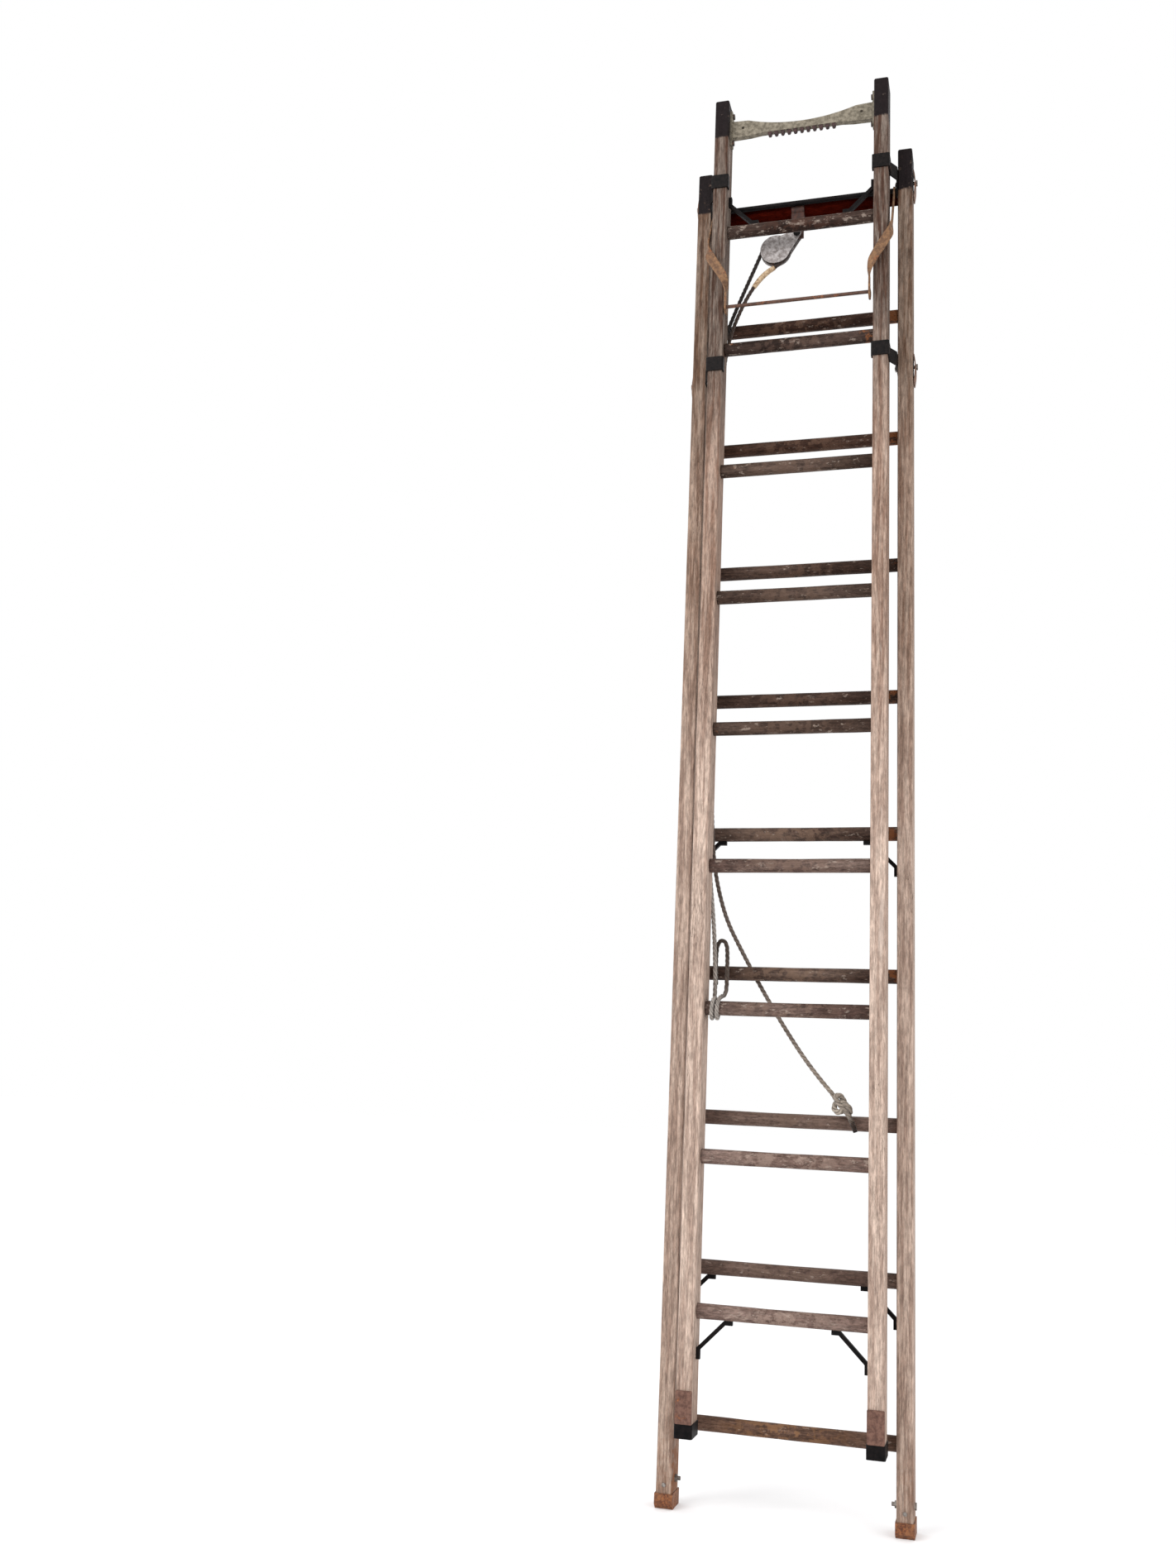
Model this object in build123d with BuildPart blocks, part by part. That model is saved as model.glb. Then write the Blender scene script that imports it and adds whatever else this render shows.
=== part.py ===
"""Two-section wooden extension ladder with guide irons, gravity rung lock, pulley block and halyard.

Frame: +Z up along the rails, +X to the right of a person facing the ladder, +Y towards the wall.
The base section stands at the back, the fly section slides in front of it and between its irons.
The origin is on the floor, midway between the base rails. All sizes are in millimetres.
"""
import os
from math import cos, pi, radians, sin, tan

from build123d import *

os.makedirs("parts", exist_ok=True)

# ---- sections: rails and rungs -------------------------------------------------------------
rail_thickness = 33.0        # across the ladder
rail_depth = 60.0            # front to back
rail_length = 3020.0
rail_round = 3.0
base_width = 510.0           # outside to outside
fly_width = 410.0
rung_pitch = 304.8
rung_radius = 15.5
tenon_radius = 11.0
tenon_depth = 24.0
socket_depth = 25.0
end_round = 4.5              # rounding of the rails' upper ends
socket_gap = 0.1
base_rungs = 10
fly_rungs = 9
base_first_rung = 165.0
fly_bottom = 150.0
fly_first_rung = fly_bottom + 240.0
fly_y = -66.0                # plane of the fly rungs, in front of the base rungs at y = 0

base_inner = base_width / 2 - rail_thickness
fly_inner = fly_width / 2 - rail_thickness
base_outer = base_width / 2
fly_outer = fly_width / 2
base_rung_z = [base_first_rung + rung_pitch * i for i in range(base_rungs)]
fly_rung_z = [fly_first_rung + rung_pitch * i for i in range(fly_rungs)]
fly_front = fly_y - rail_depth / 2

# ---- irons ---------------------------------------------------------------------------------
shoe_wall = 2.0
shoe_height = 30.0
shoe_floor = 5.9
shoe_chamfer = 10.0
shoe_gap = 0.1
cap_wall = 2.0
cap_gap = 0.1
cap_floor = 2.9
cap_height = 27.0
end_plate_low = 27.4         # above the fly's lower end
end_plate_height = 63.0
end_plate_round = 2.5
end_plate_screws = (14.0, 49.0)
end_screw_radius = 3.5
end_screw_head = 1.2
strap_iron = 3.0             # thickness of the bent strap irons
guide_height = 34.0
guide_upper_z = 2949.0
guide_lower_z = 2475.0
guide_clearance = 0.9
guide_lip = 14.0
guide_side_gap = 1.0
guide_knees_y = (-60.0, -40.0)    # where the iron slants from the fly rail's side to the base rail
guide_tail_y = 24.0
guide_bend = 2.5
backing_iron = 2.4
backing_drop = 9.0
backing_half_height = 34.0
backing_half_width = 17.0
backing_stand = (1.7, 5.0)        # off the rail at the plate's ends and at its middle
guide_bolt_y = 8.0
guide_bolt_radius = 4.0
guide_bolt_inner_end = 9.0
guide_bolt_outer_end = 8.0
guide_head_stand = 6.3
guide_head_height = 3.5
screw_radius = 3.0
foot_bolt_z = 55.0
bolt_head_radius = 7.0
nut_radius = 7.5
nut_height = 5.0
bolt_head_height = 4.0
foot_screw_radius = 4.0
foot_screw_head = 1.6
foot_bolt_end = 11.0           # thread and nut inside the rail
foot_screw_drop = 9.0
brace_width = 10.0
brace_thickness = 8.0
brace_run = 57.0
brace_tab = 16.0              # length under the rung
brace_foot = 20.0             # length on the rail

# ---- rung lock -----------------------------------------------------------------------------
shaft_y = -25.0
shaft_z = 2914.0
shaft_radius = 6.0
shaft_gap = 0.05
arm_thickness = 4.0
arm_gap_x = 213.5            # the arm hangs in the gap between fly rail and base rail
arm_inner_x = 165.0          # and ends inside the fly rail
arm_width = 15.0
arm_front = fly_front - 15      # back face of the part that crosses the fly rail, with room to swing in
arm_eye_radius = 9.4
hook_nose_y = -82.5            # at rest the hook stays 1 mm in front of the rungs' path
hook_top = 2623.2              # top of the nose: level with a seated rung once the lock swings in 3.3 degrees
hook_seat_rise = 0.9
hook_back_y = arm_front + 12    # clear of a seated rung when swung in
hook_bottom = 2596.0
lock_rod_radius = 4.0
lock_rod_y = arm_front + arm_width / 2
lock_rod_z = 2613.0
shaft_end_gap = 0.5
crossing_top = 2774.0           # heights of the slanting plate across the front of the fly rail
crossing_side = 2738.0
crossing_inner = 2700.0
crossing_bottom = 2668.0
arm_foot_z = 2748.0             # lower end of the strap in the gap
bracket_y = (-37.0, -30.0, -17.0)
bracket_z = (2898.0, 2912.0, 2931.0)

# ---- pole strap ----------------------------------------------------------------------------
strap_z = 3102.0
strap_depth = 14.0
strap_half_height = 22.0
strap_rise = 20.0            # of the shoulders over the middle of the dip
strap_shoulder_x = 128.0
strap_under = 18.0           # from the middle of the dip to the underside
strap_taper_x = (96.0, 122.0)
strap_taper_z = 21.0
strap_hole_x = 141.0
strap_hole_rise = 2.0
strap_hole_radius = 3.5
flange_round = 5.0
flange_z = 3106.0
flange_height = 92.0
flange_bolt_rise = 36.0
flange_width = 26.0
flange_thickness = 5.0
teeth = 11
tooth_pitch = 15.2
tooth_half = (4.6, 2.4)      # at the strap and at the tip
tooth_shoulder = 4.0
tooth_length = 8.0
tooth_half_depth = 5.5
strap_bolt_depth = 20.0
strap_bolt_length = 18.0
strap_head_radius = 6.5
strap_head_height = 4.0

# ---- pulley block --------------------------------------------------------------------------
sheave_x = -65.0
sheave_y = -14.0
sheave_z = 2800.0
sheave_radius = 33.0
sheave_width = 13.0
rope_path_radius = 31.7
groove_radius = 5.4
axle_radius = 5.0
axle_gap = 0.06
cheek_radius = 36.0
cheek_thickness = 2.0
cheek_inner = 7.5            # from the middle plane to a cheek
eye_x = -14.0
eye_z = 2836.0
hanger_wall = 3.2
hanger_half_tongue = 2.0
hanger_low = 10.0            # tongue below the eye
hanger_top_z = 2894.0
hanger_half_width = 15.0
cheek_eye_radius = 10.0
rivet_radius = 8.0
rivet_height = 2.0
hanger_bolt_head = 5.0
hanger_bolt_spare = 2.0

# ---- halyard -------------------------------------------------------------------------------
rope_diameter = 9.5

# from the sheave's left side down behind the left fly rail to the fly's third rung
fly_side_route = [
    (-94.5, -14, 2811.5), (-108.3, -14, 2776), (-132, -16.5, 2716), (-157.5, -21, 2648),
    (-181.5, -26, 2576), (-195, -27, 2474), (-200.2, -27.5, 2340), (-201.8, -27.5, 2203),
    (-201.6, -27.5, 2064), (-200.2, -27.5, 1926), (-198.6, -27.5, 1790), (-196.6, -27.5, 1660),
    (-193.8, -28, 1536), (-189.5, -28.5, 1418), (-180.5, -29.5, 1305), (-168.5, -32, 1200),
    (-162, -37, 1130), (-159, -40, 1062),
]
# over the sheave, down behind the left fly rail, behind the fourth base rung and on to the knot
free_side_route = [
    (-94.5, -14, 2811.5), (-88.9, -14, 2825.9), (-59.2, -14, 2834.7), (-34, -14, 2816.7),
    (-32.8, -14, 2785.7), (-58, -14, 2762), (-92, -16, 2741), (-121, -18.5, 2701), (-146, -22, 2648),
    (-170.5, -25, 2576), (-184, -26.5, 2472), (-189, -26.5, 2338), (-190.4, -26.5, 2200),
    (-190.2, -26.5, 2060), (-188.9, -26.5, 1922), (-187, -26.5, 1786), (-184.8, -26.5, 1655),
    (-182.2, -26.5, 1530), (-179, -26, 1420), (-174.5, -19, 1330), (-165, -4, 1262),
    (-146, 12, 1192), (-114, 22, 1130), (-77, 27, 1062), (-28, 10, 985), (28, -12, 905),
    (78, -24, 846), (100, -28, 824),
]
# two turns round the fly's third rung, then a loose loop up and back down
hitch_turns = 2
hitch_radius = 24.2
hitch_start_x = -162.0
hitch_pitch = 11.0
hitch_lead_in = [(-159, -40, 1061.6), (-157.9, -41.1, 1036)]
hitch_loop = [
    (-134, -40, 1030), (-134.5, -35, 1082), (-136, -29, 1122), (-138.5, -27.5, 1140),
    (-148.5, -25.5, 1149.5), (-158.5, -25, 1140), (-161, -24.5, 1122), (-161.5, -24.5, 1092),
    (-159.5, -27, 1052),
]
knot_x = 112.0
knot_y = -31.0
knot_z = 812.0
knot_size = 18.0
hitch_sides = 6              # straight runs in one turn of the hitch
arc_share = 0.45             # how much of a straight run its end arcs may take
tail_route = [(121, -33, 799), (131, -30, 780), (139, -25, 758)]


def write(node, name):
    """Label a finished piece and write it as its own STEP file."""
    node.part.label = name
    export_step(node.part, f"parts/{name}.step")


# ---- rails ---------------------------------------------------------------------------------
def rail(name, side, inner_x, mid_y, low_z, length, rung_heights, through_bolts, blind_bolts, chamfer_foot):
    """A straight rail with rounded edges, rung sockets on its inner face and bolt holes."""
    mid_x = side * (inner_x + rail_thickness / 2)
    with BuildPart() as body:
        with BuildSketch(Plane.XY.offset(low_z)):
            with Locations((mid_x, mid_y)):
                RectangleRounded(rail_thickness, rail_depth, rail_round)
        extrude(amount=length)
        fillet(body.faces().sort_by(Axis.Z)[-1].edges(), end_round)
        with BuildSketch(Plane.YZ.offset(side * inner_x)):
            with Locations([(mid_y, z) for z in rung_heights]):
                Circle(tenon_radius + socket_gap)
        extrude(amount=side * socket_depth, mode=Mode.SUBTRACT)
        if through_bolts:
            with BuildSketch(Plane.YZ.offset(side * inner_x)):
                with Locations(through_bolts):
                    Circle(guide_bolt_radius + socket_gap)
            extrude(amount=side * rail_thickness, mode=Mode.SUBTRACT)
        if blind_bolts:
            with BuildSketch(Plane.YZ.offset(side * inner_x)):
                with Locations(blind_bolts):
                    Circle(screw_radius + socket_gap)
            extrude(amount=side * strap_bolt_depth, mode=Mode.SUBTRACT)
        if chamfer_foot:
            front = mid_y - rail_depth / 2
            with BuildSketch(Plane.YZ.offset(side * (inner_x + rail_thickness / 2))):
                with BuildLine():
                    Polyline((front - 1, low_z + shoe_chamfer + 1), (front - 1, low_z - 1),
                             (front + shoe_chamfer + 1, low_z - 1), close=True)
                make_face()
            extrude(amount=rail_thickness, both=True, mode=Mode.SUBTRACT)
    write(body, name)


def rails():
    """The four rails; the base pair stands in steel shoes, the fly pair in end caps."""
    through = [(guide_bolt_y, guide_upper_z), (guide_bolt_y, guide_lower_z), (0, foot_bolt_z)]
    strap_bolts = [(fly_y, flange_z - flange_bolt_rise), (fly_y, flange_z + flange_bolt_rise)]
    for word, side in (("left", -1), ("right", 1)):
        rail(f"base_rail_{word}", side, base_inner, 0, shoe_floor + shoe_gap, rail_length - shoe_floor,
             base_rung_z, through, [], True)
        rail(f"fly_rail_{word}", side, fly_inner, fly_y, fly_bottom + cap_floor + cap_gap,
             rail_length - cap_floor - cap_gap, fly_rung_z, [], strap_bolts, False)


def rung(name, inner_x, mid_y, z):
    """A turned rung with a tenon at each end."""
    with BuildPart() as body:
        with BuildSketch(Plane.YZ):
            with Locations((mid_y, z)):
                Circle(rung_radius)
        extrude(amount=inner_x, both=True)
        with BuildSketch(Plane.YZ):
            with Locations((mid_y, z)):
                Circle(tenon_radius)
        extrude(amount=inner_x + tenon_depth, both=True)
    write(body, name)


def rungs():
    """Ten base rungs and nine fly rungs."""
    for number, z in enumerate(base_rung_z, 1):
        rung(f"base_rung_{number:02d}", base_inner, 0, z)
    for number, z in enumerate(fly_rung_z, 1):
        rung(f"fly_rung_{number:02d}", fly_inner, fly_y, z)


# ---- feet and rail ends --------------------------------------------------------------------
def base_shoe(name, side):
    """A bent and riveted steel shoe under a base rail, its front lower edge bevelled."""
    mid_x = side * (base_inner + rail_thickness / 2)
    half_depth = rail_depth / 2 + shoe_gap
    outer = half_depth + shoe_wall
    with BuildPart() as body:
        with BuildSketch(Plane.YZ.offset(mid_x)):
            with BuildLine():
                Polyline((-outer, shoe_height), (-outer, shoe_chamfer - 1), (-outer + shoe_chamfer - 1, 0),
                         (outer, 0), (outer, shoe_height), close=True)
            make_face()
        extrude(amount=rail_thickness / 2 + shoe_gap + shoe_wall, both=True)
        with BuildSketch(Plane.YZ.offset(mid_x)):
            with BuildLine():
                Polyline((-half_depth, shoe_height + 1), (-half_depth, shoe_floor + shoe_chamfer),
                         (-half_depth + shoe_chamfer, shoe_floor), (half_depth, shoe_floor),
                         (half_depth, shoe_height + 1), close=True)
            make_face()
        extrude(amount=rail_thickness / 2 + shoe_gap, both=True, mode=Mode.SUBTRACT)
    write(body, name)


def foot_bolts():
    """A cross bolt and a front screw just above each shoe."""
    with BuildPart() as body:
        for side in (-1, 1):
            with BuildSketch(Plane.YZ.offset(side * (base_inner - foot_bolt_end))):
                with Locations((0, foot_bolt_z)):
                    Circle(guide_bolt_radius)
            extrude(amount=side * (rail_thickness + foot_bolt_end))
            with BuildSketch(Plane.YZ.offset(side * base_outer)):
                with Locations((0, foot_bolt_z)):
                    Circle(bolt_head_radius)
            extrude(amount=side * bolt_head_height)
            with BuildSketch(Plane.YZ.offset(side * (base_inner - nut_height))):
                with Locations((0, foot_bolt_z)):
                    RegularPolygon(nut_radius, 6)
            extrude(amount=side * nut_height)
            with BuildSketch(Plane.XZ.offset(rail_depth / 2)):
                with Locations((side * (base_inner + rail_thickness / 2), foot_bolt_z - foot_screw_drop)):
                    Circle(foot_screw_radius)
            extrude(amount=foot_screw_head)
    write(body, "base_foot_bolts")


def fly_end_caps():
    """Folded iron caps closing the lower ends of the fly rails."""
    spare = 2 * (cap_wall + cap_gap)
    with BuildPart() as body:
        for side in (-1, 1):
            mid_x = side * (fly_inner + rail_thickness / 2)
            with BuildSketch(Plane.XY.offset(fly_bottom)):
                with Locations((mid_x, fly_y)):
                    RectangleRounded(rail_thickness + spare, rail_depth + spare, rail_round + cap_wall)
            extrude(amount=cap_height)
            with BuildSketch(Plane.XY.offset(fly_bottom + cap_floor)):
                with Locations((mid_x, fly_y)):
                    RectangleRounded(rail_thickness + 2 * cap_gap, rail_depth + 2 * cap_gap, rail_round)
            extrude(amount=cap_height, mode=Mode.SUBTRACT)
    write(body, "fly_end_caps")


def fly_end_plates():
    """Flat irons screwed to the fronts of the fly rails just above their end caps."""
    low = fly_bottom + end_plate_low
    with BuildPart() as body:
        for side in (-1, 1):
            mid_x = side * (fly_inner + rail_thickness / 2)
            with BuildSketch(Plane.XZ.offset(-fly_front)):
                with Locations((mid_x, low + end_plate_height / 2)):
                    RectangleRounded(rail_thickness + 1, end_plate_height, end_plate_round)
            extrude(amount=strap_iron)
            with BuildSketch(Plane.XZ.offset(-fly_front + strap_iron)):
                with Locations([(mid_x, low + rise) for rise in end_plate_screws]):
                    Circle(end_screw_radius)
            extrude(amount=end_screw_head)
    write(body, "fly_end_plates")


# ---- braces --------------------------------------------------------------------------------
def brace(name, side, rail_face, mid_y, rung_z, up):
    """A square iron from a rail's inner face to a rung; up is 1 above the rung and -1 below it."""
    middle = brace_thickness / 2
    tab_z = rung_z + up * (rung_radius + middle)
    tab_x = rail_face - middle
    knee_x = rail_face - brace_run
    knee_z = tab_z + up * (brace_run - middle)
    with BuildPart() as body:
        with BuildSketch(Plane.XZ.offset(-mid_y)):
            with BuildLine() as path:
                Polyline((side * (knee_x - brace_tab), tab_z), (side * knee_x, tab_z), (side * tab_x, knee_z),
                         (side * tab_x, knee_z + up * brace_foot))
            trace(path.line, line_width=brace_thickness)
        extrude(amount=brace_width / 2, both=True)
    write(body, name)


def braces():
    """Knee braces of the base's second and fifth rungs and of the fly's first and last rungs."""
    for word, side in (("left", -1), ("right", 1)):
        brace(f"base_brace_low_{word}", side, base_inner, 0, base_rung_z[1], -1)
        brace(f"base_brace_mid_{word}", side, base_inner, 0, base_rung_z[4], -1)
        brace(f"fly_brace_bottom_{word}", side, fly_inner, fly_y, fly_rung_z[0], -1)
        brace(f"fly_brace_top_{word}", side, fly_inner, fly_y, fly_rung_z[-1], 1)


# ---- guide irons ---------------------------------------------------------------------------
def guide_iron(name, side, z):
    """A bent strap bolted inside a base rail that wraps round the front of the fly rail."""
    half = strap_iron / 2
    lip_x = fly_inner - guide_clearance - half
    front_y = fly_front - guide_clearance - half
    leg_x = fly_outer + guide_side_gap + half
    rail_x = base_inner - half
    with BuildPart() as body:
        with BuildSketch(Plane.XY.offset(z - guide_height / 2)):
            with BuildLine() as path:
                FilletPolyline((side * lip_x, front_y + guide_lip), (side * lip_x, front_y),
                               (side * leg_x, front_y), (side * leg_x, guide_knees_y[0]),
                               (side * rail_x, guide_knees_y[1]), (side * rail_x, guide_tail_y),
                               radius=guide_bend)
            trace(path.line, line_width=strap_iron)
        extrude(amount=guide_height)
        with BuildSketch(Plane.YZ.offset(side * base_inner)):
            with Locations((guide_bolt_y, z)):
                Circle(guide_bolt_radius + socket_gap)
        extrude(amount=-side * 2 * strap_iron, mode=Mode.SUBTRACT)
    write(body, name)


def guide_backing_plates():
    """Bowed plates on the outer faces of the base rails, under the heads of the guide bolts."""
    with BuildPart() as body:
        for side in (-1, 1):
            end_x, middle_x = (side * (base_outer + stand) for stand in backing_stand)
            for z in (guide_upper_z - backing_drop, guide_lower_z - backing_drop):
                with BuildSketch(Plane.XZ.offset(-guide_bolt_y)):
                    with BuildLine() as path:
                        ThreePointArc((end_x, z - backing_half_height), (middle_x, z),
                                      (end_x, z + backing_half_height))
                    trace(path.line, line_width=backing_iron)
                extrude(amount=backing_half_width, both=True)
        for side in (-1, 1):
            with BuildSketch(Plane.YZ.offset(side * base_outer)):
                with Locations([(guide_bolt_y, z) for z in (guide_upper_z, guide_lower_z)]):
                    Circle(guide_bolt_radius + socket_gap)
            extrude(amount=side * guide_bolt_outer_end, mode=Mode.SUBTRACT)
    write(body, "guide_backing_plates")


def guide_bolts():
    """Four bolts through backing plate, base rail and guide iron."""
    with BuildPart() as body:
        for side in (-1, 1):
            for z in (guide_upper_z, guide_lower_z):
                with BuildSketch(Plane.YZ.offset(side * (base_inner - guide_bolt_inner_end))):
                    with Locations((guide_bolt_y, z)):
                        Circle(guide_bolt_radius)
                extrude(amount=side * (guide_bolt_inner_end + rail_thickness + guide_bolt_outer_end))
                with BuildSketch(Plane.YZ.offset(side * (base_outer + guide_head_stand))):
                    with Locations((guide_bolt_y, z)):
                        Circle(bolt_head_radius)
                extrude(amount=side * guide_head_height)
                with BuildSketch(Plane.YZ.offset(side * (base_inner - strap_iron))):
                    with Locations((guide_bolt_y, z)):
                        RegularPolygon(nut_radius, 6)
                extrude(amount=-side * nut_height)
    write(body, "guide_bolts")


def guides():
    """Upper and lower guide irons on both sides, with their plates and bolts."""
    for word, side in (("left", -1), ("right", 1)):
        guide_iron(f"guide_iron_upper_{word}", side, guide_upper_z)
        guide_iron(f"guide_iron_lower_{word}", side, guide_lower_z)
    guide_backing_plates()
    guide_bolts()


# ---- rung lock -----------------------------------------------------------------------------
def lock_brackets():
    """Two eye plates that carry the lock shaft, one on each base rail."""
    front, slant, back = bracket_y
    low, corner, high = bracket_z
    with BuildPart() as body:
        for side in (-1, 1):
            with BuildSketch(Plane.YZ.offset(side * base_inner)):
                with BuildLine():
                    Polyline((back, low), (back, high), (front, high), (front, corner), (slant, low), close=True)
                make_face()
                with Locations((shaft_y, shaft_z)):
                    Circle(shaft_radius + shaft_gap, mode=Mode.SUBTRACT)
            extrude(amount=-side * strap_iron)
    write(body, "lock_brackets")


def lock_shaft():
    """The round bar across the top on which both lock arms hang."""
    with BuildPart() as body:
        with BuildSketch(Plane.YZ):
            with Locations((shaft_y, shaft_z)):
                Circle(shaft_radius)
        extrude(amount=base_inner - shaft_end_gap, both=True)
    write(body, "lock_shaft")


def lock_arm(name, side):
    """A strap that hangs in the rail gap, crosses the front of the fly rail and ends in a hook."""
    half = arm_thickness / 2
    gap_side, gap_inner = side * (arm_gap_x + half), side * (arm_gap_x - half)
    hook_side, hook_inner = side * (arm_inner_x + half + 5), side * (arm_inner_x - half)
    with BuildPart() as body:
        with BuildSketch(Plane.YZ.offset(side * arm_gap_x)):
            with BuildLine() as path:
                Line((shaft_y, shaft_z), (arm_front + 2, arm_foot_z))
            trace(path.line, line_width=arm_width)
            with Locations((shaft_y, shaft_z)):
                Circle(arm_eye_radius)
        extrude(amount=half, both=True)
        with BuildSketch(Plane.XZ.offset(-arm_front)):
            with BuildLine():
                Polyline((gap_side, crossing_top), (gap_side, crossing_side), (hook_side, crossing_bottom),
                         (hook_inner, crossing_bottom), (hook_inner, crossing_inner), (gap_inner, crossing_top),
                         close=True)
            make_face()
        extrude(amount=arm_thickness)
        with BuildSketch(Plane.YZ.offset(side * arm_inner_x)):
            with BuildLine():
                Polyline((arm_front - arm_thickness, crossing_inner), (hook_back_y, crossing_inner),
                         (hook_back_y, hook_top + hook_seat_rise), (hook_nose_y, hook_top),
                         (hook_nose_y, hook_top - 9), (hook_nose_y - 9, hook_bottom + 3),
                         (arm_front + 9, hook_bottom), (arm_front - arm_thickness, hook_bottom + 8), close=True)
            make_face()
        extrude(amount=half, both=True)
        with BuildSketch(Plane.YZ.offset(side * arm_gap_x)):
            with Locations((shaft_y, shaft_z)):
                Circle(shaft_radius + shaft_gap)
        extrude(amount=arm_thickness, both=True, mode=Mode.SUBTRACT)
    write(body, name)


def lock_rod():
    """The thin bar that ties the two hooks together."""
    with BuildPart() as body:
        with BuildSketch(Plane.YZ):
            with Locations((lock_rod_y, lock_rod_z)):
                Circle(lock_rod_radius)
        extrude(amount=arm_inner_x - arm_thickness / 2, both=True)
    write(body, "lock_rod")


def rung_lock():
    """Shaft, brackets, two arms and the tie rod."""
    lock_brackets()
    lock_shaft()
    lock_arm("lock_arm_left", -1)
    lock_arm("lock_arm_right", 1)
    lock_rod()


# ---- pole strap ----------------------------------------------------------------------------
def pole_strap():
    """Cast strap between the tops of the fly rails, dipped in the middle to rest on a pole."""
    end_x = fly_inner - flange_thickness
    end_high, end_low = strap_z + strap_half_height, strap_z - strap_half_height
    shoulder_x, shoulder_z = strap_shoulder_x, strap_z + strap_rise
    under_x, taper_x = strap_taper_x
    under_z, taper_z = strap_z - strap_under, strap_z - strap_taper_z
    hole_z = strap_z + strap_hole_rise
    with BuildPart() as body:
        with BuildSketch(Plane.XZ.offset(-fly_y)):
            with BuildLine():
                Line((-end_x, end_high), (-shoulder_x, shoulder_z))
                ThreePointArc((-shoulder_x, shoulder_z), (0, strap_z), (shoulder_x, shoulder_z))
                Polyline((shoulder_x, shoulder_z), (end_x, end_high), (end_x, end_low), (taper_x, taper_z),
                         (under_x, under_z), (-under_x, under_z), (-taper_x, taper_z),
                         (-end_x, end_low), (-end_x, end_high))
            make_face()
            with Locations((-strap_hole_x, hole_z), (strap_hole_x, hole_z)):
                Circle(strap_hole_radius, mode=Mode.SUBTRACT)
        extrude(amount=strap_depth / 2, both=True)
        for side in (-1, 1):
            with BuildSketch(Plane.YZ.offset(side * end_x)):
                with Locations((fly_y, flange_z)):
                    RectangleRounded(flange_width, flange_height, flange_round)
            extrude(amount=side * flange_thickness)
            with BuildSketch(Plane.YZ.offset(side * end_x)):
                with Locations((fly_y, flange_z - flange_bolt_rise), (fly_y, flange_z + flange_bolt_rise)):
                    Circle(screw_radius + socket_gap)
            extrude(amount=side * flange_thickness, mode=Mode.SUBTRACT)
    write(body, "pole_strap")


def pole_strap_teeth():
    """Eleven rubber buds under the strap that grip a pole."""
    top = strap_z - strap_under
    root, tip = tooth_half
    with BuildPart() as body:
        for number in range(teeth):
            x = (number - (teeth - 1) / 2) * tooth_pitch
            with BuildSketch(Plane.XZ.offset(-fly_y)):
                with BuildLine():
                    Polyline((x - root, top), (x - root, top - tooth_shoulder), (x - tip, top - tooth_length),
                             (x + tip, top - tooth_length), (x + root, top - tooth_shoulder),
                             (x + root, top), close=True)
                make_face()
            extrude(amount=tooth_half_depth, both=True)
    write(body, "pole_strap_teeth")


def pole_strap_bolts():
    """Four round-head screws that hold the strap's flanges to the fly rails."""
    end_x = fly_inner - flange_thickness
    with BuildPart() as body:
        for side in (-1, 1):
            for z in (flange_z - flange_bolt_rise, flange_z + flange_bolt_rise):
                with BuildSketch(Plane.YZ.offset(side * (end_x - strap_head_height))):
                    with Locations((fly_y, z)):
                        Circle(strap_head_radius)
                extrude(amount=side * strap_head_height)
                with BuildSketch(Plane.YZ.offset(side * end_x)):
                    with Locations((fly_y, z)):
                        Circle(screw_radius)
                extrude(amount=side * (flange_thickness + strap_bolt_length))
    write(body, "pole_strap_bolts")


# ---- pulley block --------------------------------------------------------------------------
def pulley_hanger():
    """An iron strap looped round the top base rung, its two ends closed into a tongue."""
    front, back = sheave_y - hanger_half_tongue, sheave_y + hanger_half_tongue
    low = eye_z - hanger_low
    with BuildPart() as body:
        with BuildSketch(Plane.YZ.offset(eye_x)):
            with Locations((0, base_rung_z[-1])):
                Circle(rung_radius + hanger_wall)
            with BuildLine():
                Polyline((front, low), (back, low), (back, hanger_top_z), (front, hanger_top_z), close=True)
            make_face()
            with Locations((0, base_rung_z[-1])):
                Circle(rung_radius + socket_gap, mode=Mode.SUBTRACT)
        extrude(amount=hanger_half_width, both=True)
        with BuildSketch(Plane.XZ.offset(-sheave_y)):
            with Locations((eye_x, eye_z)):
                Circle(guide_bolt_radius + socket_gap)
        extrude(amount=cheek_inner, both=True, mode=Mode.SUBTRACT)
    write(body, "pulley_hanger")


def pulley_cheeks():
    """Two galvanised side plates, round over the sheave and tapered to the hanger bolt."""
    with BuildPart() as body:
        for near in (-1, 1):
            with BuildSketch(Plane.XZ.offset(-sheave_y - near * cheek_inner)):
                with Locations((sheave_x, sheave_z)):
                    Circle(cheek_radius)
                with Locations((eye_x, eye_z)):
                    Circle(cheek_eye_radius)
                with BuildLine():
                    Polyline((sheave_x + 10, sheave_z + 33), (eye_x - 6, eye_z + 8), (eye_x + 7, eye_z - 7),
                             (sheave_x + 34, sheave_z - 10), close=True)
                make_face()
                with Locations((sheave_x, sheave_z)):
                    Circle(axle_radius + socket_gap, mode=Mode.SUBTRACT)
                with Locations((eye_x, eye_z)):
                    Circle(guide_bolt_radius + socket_gap, mode=Mode.SUBTRACT)
            extrude(amount=-near * cheek_thickness)
    write(body, "pulley_cheeks")


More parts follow.
